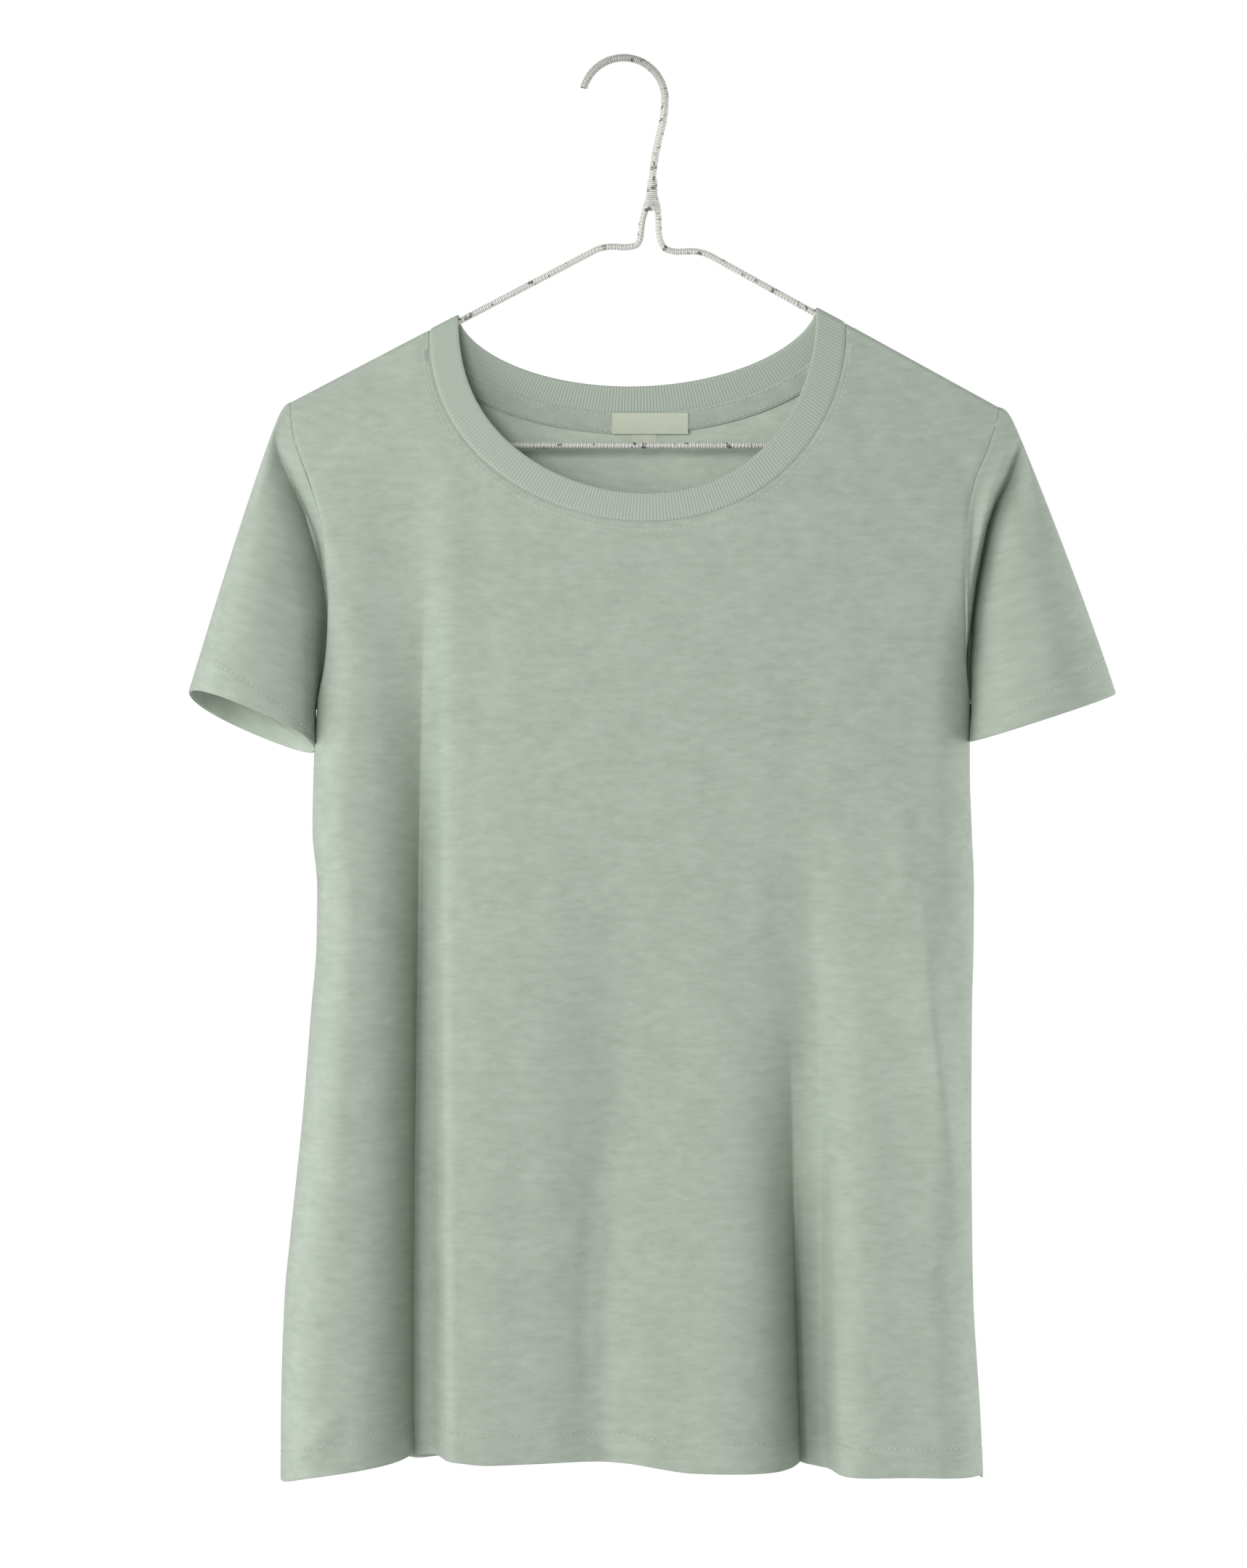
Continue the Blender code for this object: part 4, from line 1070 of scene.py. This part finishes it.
def turned_up(outer, facing, above_hem, from_edge, closed=False):
    """Outer points, inner points and facings of cloth that is double along its hem, with a round edge."""
    thickness = WALL + (HEM_WALL - WALL) * ramp(-above_hem, -1.0, 1.0)
    full = np.sqrt(1 - np.clip(1 - from_edge / (EDGE_ROUNDING * HEM_WALL), 0.0, 1.0) ** 2)
    outer = outer - ((1 - full) * thickness / 2 * (1 - EDGE_THIN))[..., None] * facing
    facing = grid_facing(outer, facing, closed)
    inner = outer - (thickness * (EDGE_THIN + (1 - EDGE_THIN) * full))[..., None] * facing
    return outer, inner, facing


def panel_surface(face, seam, sizes):
    """Outer points, inner points, facings and flat layout of the front or the back."""
    share = steps(PANEL_COLUMNS)
    across, z = panel_grid(face, seam, share, steps(PANEL_ROWS))
    facing = body_facing(face, across, z)
    outer = body_point(face, across, z)
    # Creases press straight in, and less where the cloth turns round the side
    pressed = sizes.crease_depth * crease_relief(CREASES[face], outer[..., 0], z)
    outer[..., 1] -= OUTWARD[face] * pressed * ramp(np.abs(facing[..., 1]), *SIDE_FADE)
    relief = np.zeros_like(z)
    for side in (0, -1):
        from_side = across - across[:, side : side + 1 or None]
        relief += SEAM_ROLL * ramp(z[0, side] - z, *TIP_EASE) * dip(from_side, SEAM_ROLL_REACH)
    outside, inside = NECK_EASE
    after_start = ramp(share, NECK_START - outside, NECK_START + inside)
    before_end = 1 - ramp(share, NECK_END - inside, NECK_END + outside)
    from_neck = neck_distance(outer[..., 0], z, seam)
    relief += SEAM_ROLL * dip(from_neck, SEAM_ROLL_REACH) * (after_start * before_end)
    relief += STITCH_SINK * dip(from_neck - NECK_STITCH, STITCH_SINK_REACH) * (from_neck < 2 * NECK_STITCH)
    above_hem = z - z[HEM_LINE]
    relief += STITCH_SINK * dip(above_hem, STITCH_SINK_REACH)
    outer = outer - relief[..., None] * facing
    outer[..., 1] += OUTWARD[face] * SEAM_GAP / 2
    return *turned_up(outer, facing, above_hem, z - z[-1]), np.stack([across, z], axis=-1)


def sleeve_surface(name, sleeve, sizes):
    """Outer points, inner points, facings and flat layout of a sleeve."""
    length = 1 - SLEEVE_BAND
    hem = length + SLEEVE_BAND * np.array(HEM_ROWS) / HEM_DEPTH
    along = np.concatenate([steps(SLEEVE_ROWS) * length, hem])
    turn, along = np.meshgrid(np.arange(SLEEVE_AROUND) / SLEEVE_AROUND, along)
    facing = sleeve_facing(sleeve, turn, along)
    outer = sleeve_point(sleeve, turn, along)
    round_ = turn * SLEEVE_ROUND
    down = np.insert(np.linalg.norm(np.diff(outer, axis=0), axis=-1).cumsum(axis=0), 0, 0.0, axis=0)
    pressed = sizes.crease_depth * crease_relief(SLEEVE_CREASES[name], round_, down)
    pressed = pressed * ramp(down, *ARMHOLE_FADE)
    outer[..., 1] -= pressed * np.sign(facing[..., 1]) * ramp(np.abs(facing[..., 1]), *SIDE_FADE)
    from_crown = SLEEVE_ROUND * (0.5 - np.abs(turn - 0.5))
    above_hem, from_edge = ((end - along) * HEM_DEPTH / SLEEVE_BAND for end in (length, 1))
    relief = SEAM_ROLL * ramp(from_crown, *TIP_EASE) * dip(down, SEAM_ROLL_REACH)
    relief += STITCH_SINK * dip(above_hem, STITCH_SINK_REACH)
    outer = outer - relief[..., None] * facing
    # The cloth's rows of loops run square to the sleeve's length
    fall = unit(np.array([sleeve.outer[1] - sleeve.inner[1], sleeve.inner[0] - sleeve.outer[0]]))
    outer, inner, facing = turned_up(outer, facing, above_hem, from_edge, closed=True)
    level = np.sign(fall[1]) * (outer[..., 0] * fall[0] + outer[..., 2] * fall[1])
    level = np.column_stack([level, level[:, 0]])
    round_ = np.column_stack([round_, np.full(len(round_), SLEEVE_ROUND)])
    return outer, inner, facing, np.stack([round_, level], axis=-1)


def grid_facing(points, near, closed=False):
    """The outward directions of a grid's own surface, on the same side as those given."""
    lengthwise, crosswise = np.gradient(points, axis=0), np.gradient(points, axis=1)
    if closed:
        crosswise = np.roll(points, -1, axis=1) - np.roll(points, 1, axis=1)
    own = unit(np.cross(crosswise, lengthwise))
    return own * np.sign((own * near).sum(axis=-1, keepdims=True).sum(axis=(0, 1), keepdims=True))


def neck_distance(x, z, seam):
    """Roughly how far a point lies outside the neck seam, in millimetres."""
    middle, half = (seam.left + seam.right) / 2, (seam.right - seam.left) / 2
    v = np.maximum(neck_top(seam, x) - z, 0.0) / seam.drop
    u = np.abs(x - middle - seam.lean * np.minimum(v, 1.0) ** (1.5 * seam.power)) / half
    # The seam is where u squared plus v to the power is 1, and dividing by the slope gives a distance
    value = u**2 + v**seam.power - 1
    slope = np.hypot(2 * u / half, seam.power * np.maximum(v, 1e-3) ** (seam.power - 1) / seam.drop)
    return value / np.maximum(slope, 1e-4)


def neck_line(face, seam, outside):
    """Points and facings of a line that runs round the neck, that far outside its seam."""
    turn = np.linspace(*NECK_LINE)
    wide = seam._replace(left=seam.left - outside, right=seam.right + outside, drop=seam.drop + outside)
    x, z = neck_point(wide, turn)
    line, facing = body_at(face, x, z)
    line = line - STITCH_SINK * facing
    line[..., 1] -= OUTWARD[face] * crease_relief(CREASES[face], x, z)
    return line, facing


def length_property(label, about, size):
    return bpy.props.FloatProperty(name=label, description=about, default=size, unit="LENGTH")


def power_property(label, about, watts):
    return bpy.props.FloatProperty(name=label, description=about, default=watts, unit="POWER")


def colour_property(label, about, code):
    return bpy.props.FloatVectorProperty(
        name=label, description=about, subtype="COLOR", size=3, min=0.0, max=1.0, default=linear_of(code)
    )


class TeeSizes(bpy.types.PropertyGroup):
    """Real sizes of the cloth's details, which the maker may change."""

    crease_depth: bpy.props.FloatProperty(
        name="Crease depth", description="Depth of the small creases, as a share of those laid by hand",
        default=1.0, min=0.0, max=2.0,
    )
    wale_pitch: length_property("Wale pitch", "Distance between the columns of knit loops", 0.0011)
    course_pitch: length_property("Course pitch", "Distance between the rows of knit loops", 0.0009)
    rib_pitch: length_property("Rib pitch", "Distance between the ridges of the neck band", 0.0019)
    stitch_length: length_property("Stitch length", "Length of one sewn stitch", 0.0027)
    stitch_gap: length_property("Stitch gap", "Cloth that shows between two stitches", 0.0006)
    thread: length_property("Thread thickness", "Thickness of the sewing thread", 0.0006)
    cord: length_property("Cord thickness", "Thickness of the cord wound round the wire", 0.0009)
    cord_pitch: length_property("Cord pitch", "Distance from one turn of cord to the next", 0.0010)


class TeeColours(bpy.types.PropertyGroup):
    """Colours of the cloth, thread and hanger."""

    jersey_light: colour_property("Jersey, pale yarn", "The paler streaks of the jersey", "#A9B3A7")
    jersey_dark: colour_property("Jersey, dark yarn", "The darker streaks of the jersey", "#959F93")
    # The inside's paler colours are painted light, in place of light that doesn't reach inside the garment
    reverse: colour_property("Reverse, pale yarn", "The paler streaks inside the garment", "#BBC6B9")
    painted_light_inside_dark: colour_property("Reverse, dark yarn", "The darker streaks inside the garment", "#A5B0A3")
    rib_light: colour_property("Rib ridges", "The ridges of the neck band", "#A7B1A5")
    # The grooves' darker colour is painted shade
    rib_groove_painted_shade: colour_property("Rib grooves", "The grooves of the neck band", "#9BA599")
    thread: colour_property("Thread", "The sewing thread", "#C0C8BB")
    thread_dark: colour_property("Thread, shaded", "The darker plies of the thread", "#A9B2A5")
    label: colour_property("Label", "The label's ribbon", "#C1C7B3")
    # The label's darker colour is painted shade in its weave
    label_weave_painted_shade: colour_property("Label, shaded", "The label's darker picks", "#AEB5A1")
    cord: colour_property("Cord", "The cord round the hanger", "#D9DAD3")
    fleck: colour_property("Flecks", "The flecks in the cord", "#6F6D66")
    wire: colour_property("Wire", "The bare steel wire", "#A9A9A4")


class TeeStage(bpy.types.PropertyGroup):
    """The plain studio round the garment."""

    distance: length_property("Camera distance", "From the hanger's plane to the camera", 2.2)
    level: length_property("Camera level", "The camera's height against the hook's inside top", -0.3972)
    lens: bpy.props.FloatProperty(name="Lens", description="Focal length in millimetres", default=91.84)
    key_power: power_property("Key light", "Power of the large light at the left", 30.5)
    fill_power: power_property("Fill light", "Power of the soft light above the camera's left", 37.0)
    right_power: power_property("Right rim light", "Power of the soft light behind, at the right", 44.0)
    left_power: power_property("Left rim light", "Power of the soft light behind, at the left", 13.0)
    sky: bpy.props.FloatProperty(name="Room light", description="Strength of the even light", default=0.30)
    floor_level: length_property("Floor level", "Height of the floor", -1.15)


class TEE_OT_body(bpy.types.Operator):
    """Builds the front and the back, with their hem and neck stitching."""

    bl_idname = "tee.body"
    bl_label = "Front and back"

    def execute(self, context):
        # The inside of the front and back takes the jersey's paler copy: painted light
        jersey, inside_painted_light = finish(context, "slub_jersey"), finish(context, "slub_jersey_reverse")
        for face, seam in (("front", FRONT_SEAM), ("back", BACK_SEAM)):
            outer, inner, facing, layout = panel_surface(face, seam, context.scene.tee_sizes)
            piece = wall(f"jersey_{face}", outer, inner, layout, jersey, reverse=inside_painted_light)
            settle(piece, face)
            lines = [(outer[HEM_LINE], facing[HEM_LINE]), neck_line(face, seam, NECK_STITCH)]
            sewn = stitches(context, f"stitching_{face}", lines)
        return {"FINISHED"}


class TEE_OT_sleeves(bpy.types.Operator):
    """Builds both sleeves, with their hem stitching."""

    bl_idname = "tee.sleeves"
    bl_label = "Sleeves"

    def execute(self, context):
        # The inside of the sleeves takes the jersey's paler copy: painted light
        jersey, inside_painted_light = finish(context, "slub_jersey"), finish(context, "slub_jersey_reverse")
        for name, sleeve in (("sleeve_left", LEFT_SLEEVE), ("sleeve_right", RIGHT_SLEEVE)):
            outer, inner, facing, layout = sleeve_surface(name, sleeve, context.scene.tee_sizes)
            piece = wall(f"jersey_{name}", outer, inner, layout, jersey, closed=True, reverse=inside_painted_light)
            settle(piece, name)
            line = [np.concatenate([grid[HEM_LINE], grid[HEM_LINE][:1]]) for grid in (outer, facing)]
            sewn = stitches(context, f"stitching_{name}", [line])
        return {"FINISHED"}


class TEE_OT_collar(bpy.types.Operator):
    """Builds the rib neck band: a folded strip with a round edge, set into the neck."""

    bl_idname = "tee.collar"
    bl_label = "Neck band"

    def execute(self, context):
        turn = steps(COLLAR_HALF)
        share = np.linspace(0.0, 1.0, COLLAR_ACROSS + 1)
        gap = COLLAR_GAP / COLLAR_WIDTH
        rise = gap + (1 - gap) * (1 - np.cos(math.pi * share)) / 2
        front, front_facing = neck_strip("front", FRONT_SEAM, FRONT_EDGE, turn, rise)
        back, back_facing = neck_strip("back", BACK_SEAM, BACK_EDGE, turn[-2:0:-1], rise)
        surface = np.concatenate([front, back], axis=1)
        outward = np.concatenate([front_facing, back_facing], axis=1)
        height = (rise * COLLAR_WIDTH)[:, None]
        fold = 1 - (COLLAR_WIDTH - height) / COLLAR_ROUNDING
        full = np.sqrt(1 - np.clip(fold, 0.0, 1.0) ** 2)
        half = RIB_WALL / 2 * (COLLAR_THIN + (1 - COLLAR_THIN) * full)
        middle = surface + (RIB_PROUD - RIB_WALL / 2) * outward
        outer = middle + (half - COLLAR_DIP * dip(height, COLLAR_DIP_REACH))[..., None] * outward
        inner = middle - half[..., None] * outward
        place = lengths_along(np.concatenate([surface[0], surface[0][:1]]))
        place = np.broadcast_to(place, (len(rise), len(place)))
        layout = np.stack([place, np.broadcast_to(height, place.shape)], axis=-1)
        piece = wall("rib_neck_band", outer, inner, layout, finish(context, "fine_rib_knit"), closed=True)
        settle(piece, "collar")
        return {"FINISHED"}


class TEE_OT_neck_trim(bpy.types.Operator):
    """Builds the neck tape, the bare label and its small tab."""

    bl_idname = "tee.neck_trim"
    bl_label = "Neck tape and label"

    def execute(self, context):
        jersey, ribbon = finish(context, "slub_jersey"), finish(context, "woven_label_ribbon")
        turn = np.linspace(TAPE_START, 1 - TAPE_START, TAPE_STEPS + 1)
        reach = TAPE_WIDTH / 2 / COLLAR_WIDTH
        rise = np.linspace(-reach, reach, 9)
        surface, outward = neck_strip("back", BACK_SEAM, BACK_EDGE, turn, rise)
        across = (rise / reach)[:, None]
        outer = surface - (TAPE_LIFT + TAPE_THIN[0] * across**4)[..., None] * outward
        inner = surface - (TAPE_LIFT + TAPE_WALL - TAPE_THIN[1] * across**6)[..., None] * outward
        place = np.broadcast_to(lengths_along(surface[4]), surface.shape[:2])
        layout = np.stack([place, np.broadcast_to(rise[:, None] * COLLAR_WIDTH, place.shape)], axis=-1)
        tape = settle(wall("jersey_neck_tape", outer, inner, layout, jersey), "neck_tape")
        sewn = stitches(context, "stitching_tape", [(inner[row], -outward[row]) for row in (1, 7)])
        for name, solid, centre, size, lift, flat, area in (
            ("woven_neck_label", "neck_label", LABEL_CENTRE, LABEL_SIZE, LABEL_LIFT, (0.042, 0.0125), 0.0005),
            ("woven_size_tab", "size_tab", TAB_CENTRE, TAB_SIZE, TAB_LIFT, (0.0132, 0.0105), 0.000125),
        ):
            x = centre[0] + size[0] * np.linspace(-0.5, 0.5, 49)
            z = centre[1] + size[1] * np.linspace(0.5, -0.5, 17)
            x, z = np.meshgrid(x, z)
            surface, outward = body_at("back", x, z)
            share_x, share_z = (x - centre[0]) / size[0], (z - centre[1]) / size[1]
            # It waves more towards its free lower edge, and is thicker along its selvedges
            near = lift + LABEL_WAVE * np.sin(9 * share_x + 2 * share_z) * (0.5 - share_z)
            edges = dip(np.abs(share_z) - 0.46, 0.04) + dip(np.abs(share_x) - 0.48, 0.015)
            outer = surface - (near + LABEL_FACES[0])[..., None] * outward
            inner = surface - (near + LABEL_FACES[1] + SELVEDGE * edges)[..., None] * outward
            label = wall(name, outer, inner, np.stack([x, z], axis=-1), ribbon)
            settle(label, solid)
        return {"FINISHED"}


def smooth_route(route, spacing):
    """Evenly spaced (x, z) points on a smooth curve through a route's own points."""
    route = np.array(route, float)
    place = lengths_along(route)
    tangent = np.gradient(route, place, axis=0)
    where = np.linspace(0.0, place[-1], max(8, int(place[-1] / spacing)) + 1)
    i = np.clip(np.searchsorted(place, where, side="right") - 1, 0, len(place) - 2)
    step = (place[i + 1] - place[i])[:, None]
    t = (where - place[i])[:, None] / step
    return hermite(t, route[i], route[i + 1], step * tangent[i], step * tangent[i + 1])


def rod(name, points, radius, rounding, material):
    """A round rod along points, drawn as a curve by hand and made a mesh."""
    bpy.ops.object.select_all(action="DESELECT")
    bpy.ops.curve.primitive_nurbs_path_add()
    piece = bpy.context.object
    piece.name = piece.data.name = name
    curve = piece.data
    curve.splines.clear()
    line = curve.splines.new("POLY")
    line.points.add(len(points) - 1)
    flat = np.column_stack([points * MM, np.ones(len(points))])
    line.points.foreach_set("co", flat.astype(np.float32).ravel())
    line.use_smooth = True
    curve.bevel_depth = radius * MM
    curve.bevel_resolution = rounding
    curve.use_fill_caps = True
    curve.materials.append(material)
    bpy.ops.object.convert(target="MESH")
    return bpy.context.object


def wound_wire(context, name, route, radius):
    """A wire with cord wound round it from end to end, as one piece."""
    sizes = context.scene.tee_sizes
    spine, thick = smooth_route(route, 2.0), sizes.cord / MM
    points = np.column_stack([spine[:, 0], np.zeros(len(spine)), spine[:, 1]])
    wire = rod(name, points, radius - CORD_SINK * thick, 2, finish(context, "galvanised_steel_wire"))
    fine = smooth_route(route, sizes.cord_pitch / MM / TURN_STEPS)
    heading = unit(np.gradient(fine, axis=0))
    angle = 2 * math.pi * np.arange(len(fine)) / TURN_STEPS
    reach = radius - thick / 2
    side = reach * np.cos(angle)
    helix = np.column_stack(
        [fine[:, 0] - heading[:, 1] * side, reach * np.sin(angle), fine[:, 1] + heading[:, 0] * side]
    )
    turns = rod(f"{name}_cord", helix, thick / 2, 0, finish(context, "wound_cotton_cord"))
    bpy.ops.object.select_all(action="DESELECT")
    turns.select_set(True)
    wire.select_set(True)
    bpy.context.view_layer.objects.active = wire
    bpy.ops.object.join()
    bpy.ops.object.mode_set(mode="EDIT")
    bpy.ops.mesh.select_all(action="SELECT")
    bpy.ops.mesh.remove_doubles(threshold=1e-6)
    bpy.ops.mesh.normals_make_consistent(inside=False)
    bpy.ops.object.mode_set(mode="OBJECT")
    bpy.ops.object.shade_smooth_by_angle(angle=CREASE_ANGLE)
    return wire


def wound_binding(context):
    """Cord wound over the place where the two legs leave the hook's stem, wider as they part."""
    sizes = context.scene.tee_sizes
    top, foot = BINDING_HALF[0][0], BINDING_HALF[-1][0]
    z = np.linspace(top, foot, int((top - foot) / (sizes.cord_pitch / MM)) * BINDING_STEPS + 1)
    half, middle = (
        np.interp(-z, [-level for level, _ in line], [value for _, value in line])
        for line in (BINDING_HALF, BINDING_MIDDLE)
    )
    angle = 2 * math.pi * np.arange(len(z)) / BINDING_STEPS
    points = np.column_stack([middle + half * np.cos(angle), BINDING_DEPTH * np.sin(angle), z])
    return rod("wound_binding", points, sizes.cord / MM / 2, 0, finish(context, "wound_cotton_cord"))


class TEE_OT_hanger(bpy.types.Operator):
    """Builds the hanger: galvanised wire wound with cord along the hook, both arms and the bar."""

    bl_idname = "tee.hanger"
    bl_label = "Wound hanger"

    def execute(self, context):
        ends, routes = {}, {"wound_hook": ("hanger_hook", hook_route(), HOOK_WIRE_RADIUS)}
        for side, hand, arm, leg in (("left", -1, LEFT_ARM, LEFT_LEG), ("right", 1, RIGHT_ARM, RIGHT_LEG)):
            bend = end_bend(arm, hand)
            ends[hand] = bend[-1][0]
            straight = np.linspace((arm.start_x, arm.start_z), bend[0], ARM_STEPS)[:-1]
            routes[f"wound_arm_{side}"] = (f"hanger_{side}_arm", [*leg, *straight, *bend], WIRE_RADIUS)
        bar = [(x, BAR_LEVEL) for x in np.linspace(ends[-1], ends[1], BAR_STEPS)]
        routes["wound_bar"] = ("hanger_bar", bar, WIRE_RADIUS)
        for name, (solid, route, radius) in routes.items():
            settle(wound_wire(context, name, route, radius), solid)
        settle(wound_binding(context))
        return {"FINISHED"}


class TEE_OT_stage(bpy.types.Operator):
    """Sets the camera, the soft lights and the plain pale floor."""

    bl_idname = "tee.stage"
    bl_label = "Camera, lights and floor"

    def execute(self, context):
        scene, stage = context.scene, context.scene.tee_stage
        bpy.ops.object.select_all(action="DESELECT")
        bpy.ops.object.camera_add(
            location=(0.0, -stage.distance, stage.level), rotation=(math.pi / 2, 0.0, 0.0)
        )
        camera = context.object
        camera.data.lens = stage.lens
        camera.data.sensor_width = 36.0
        scene.camera = camera
        aim = Vector((0.0, 0.0, stage.level))
        for name, place, size, power in (
            ("key", Vector((-1.95, -1.3, stage.level + 0.25)), 1.8, stage.key_power),
            ("fill", Vector((-0.85, -2.5, stage.level + 0.6)), 1.0, stage.fill_power),
            ("right rim", Vector((2.2, 0.35, stage.level + 0.2)), 1.4, stage.right_power),
            ("left rim", Vector((-2.2, 0.35, stage.level + 0.2)), 1.4, stage.left_power),
        ):
            bpy.ops.object.light_add(type="AREA", location=place)
            light = context.object
            light.name = light.data.name = name
            light.data.size = size
            light.data.energy = power
            light.rotation_euler = (aim - place).to_track_quat("-Z", "Y").to_euler()
        world = bpy.data.worlds.new("white_room")
        world.use_nodes = True
        tree = world.node_tree
        tree.nodes.clear()
        seen = node(tree, "ShaderNodeLightPath").outputs["Is Camera Ray"]
        even = node(tree, "ShaderNodeBackground", {"Color": (1.0, 1.0, 1.0, 1.0), "Strength": stage.sky})
        white = node(tree, "ShaderNodeBackground", {"Color": (1.0, 1.0, 1.0, 1.0), "Strength": 1.0})
        mixed = node(tree, "ShaderNodeMixShader", {0: seen, 1: even.outputs[0], 2: white.outputs[0]})
        node(tree, "ShaderNodeOutputWorld", {"Surface": mixed.outputs[0]})
        scene.world = world
        scene.view_settings.view_transform = "Standard"
        bpy.ops.mesh.primitive_circle_add(
            vertices=96, radius=1.45, fill_type="NGON", location=(0.0, 0.0, stage.floor_level)
        )
        floor = context.object
        floor.name = "floor"
        material, _, shader = new_finish("pale_painted_floor")
        set_inputs(shader, {"Base Color": (0.8, 0.8, 0.8, 1.0), "Roughness": 0.8})
        floor.data.materials.append(material)
        floor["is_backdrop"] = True
        return {"FINISHED"}


OPERATORS = (TEE_OT_hanger, TEE_OT_body, TEE_OT_sleeves, TEE_OT_collar, TEE_OT_neck_trim, TEE_OT_stage)


class TEE_PT_panel(bpy.types.Panel):
    """Lists the garment's sizes, colours and pieces."""

    bl_idname = "TEE_PT_panel"
    bl_label = "T-shirt"
    bl_space_type = "VIEW_3D"
    bl_region_type = "UI"
    bl_category = "T-shirt"

    def draw(self, context):
        for group in (context.scene.tee_sizes, context.scene.tee_colours, context.scene.tee_stage):
            box = self.layout.box()
            for name in group.__annotations__:
                box.prop(group, name)
        for operator in OPERATORS:
            self.layout.operator(operator.bl_idname)


CLASSES = (TeeSizes, TeeColours, TeeStage, *OPERATORS, TEE_PT_panel)


def register():
    for kind in CLASSES:
        bpy.utils.register_class(kind)
    bpy.types.Scene.tee_sizes = bpy.props.PointerProperty(type=TeeSizes)
    bpy.types.Scene.tee_colours = bpy.props.PointerProperty(type=TeeColours)
    bpy.types.Scene.tee_stage = bpy.props.PointerProperty(type=TeeStage)


def unregister():
    del bpy.types.Scene.tee_sizes, bpy.types.Scene.tee_colours, bpy.types.Scene.tee_stage
    for kind in reversed(CLASSES):
        bpy.utils.unregister_class(kind)


def main():
    register()
    bpy.ops.tee.hanger()
    bpy.ops.tee.body()
    bpy.ops.tee.sleeves()
    bpy.ops.tee.collar()
    bpy.ops.tee.neck_trim()
    bpy.ops.tee.stage()
    boxes = {"cad": SOLID_BOX, "visual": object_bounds()}
    {name: [list(corner) for corner in box] for name, box in boxes.items()}


if __name__ == "__main__":
    main()
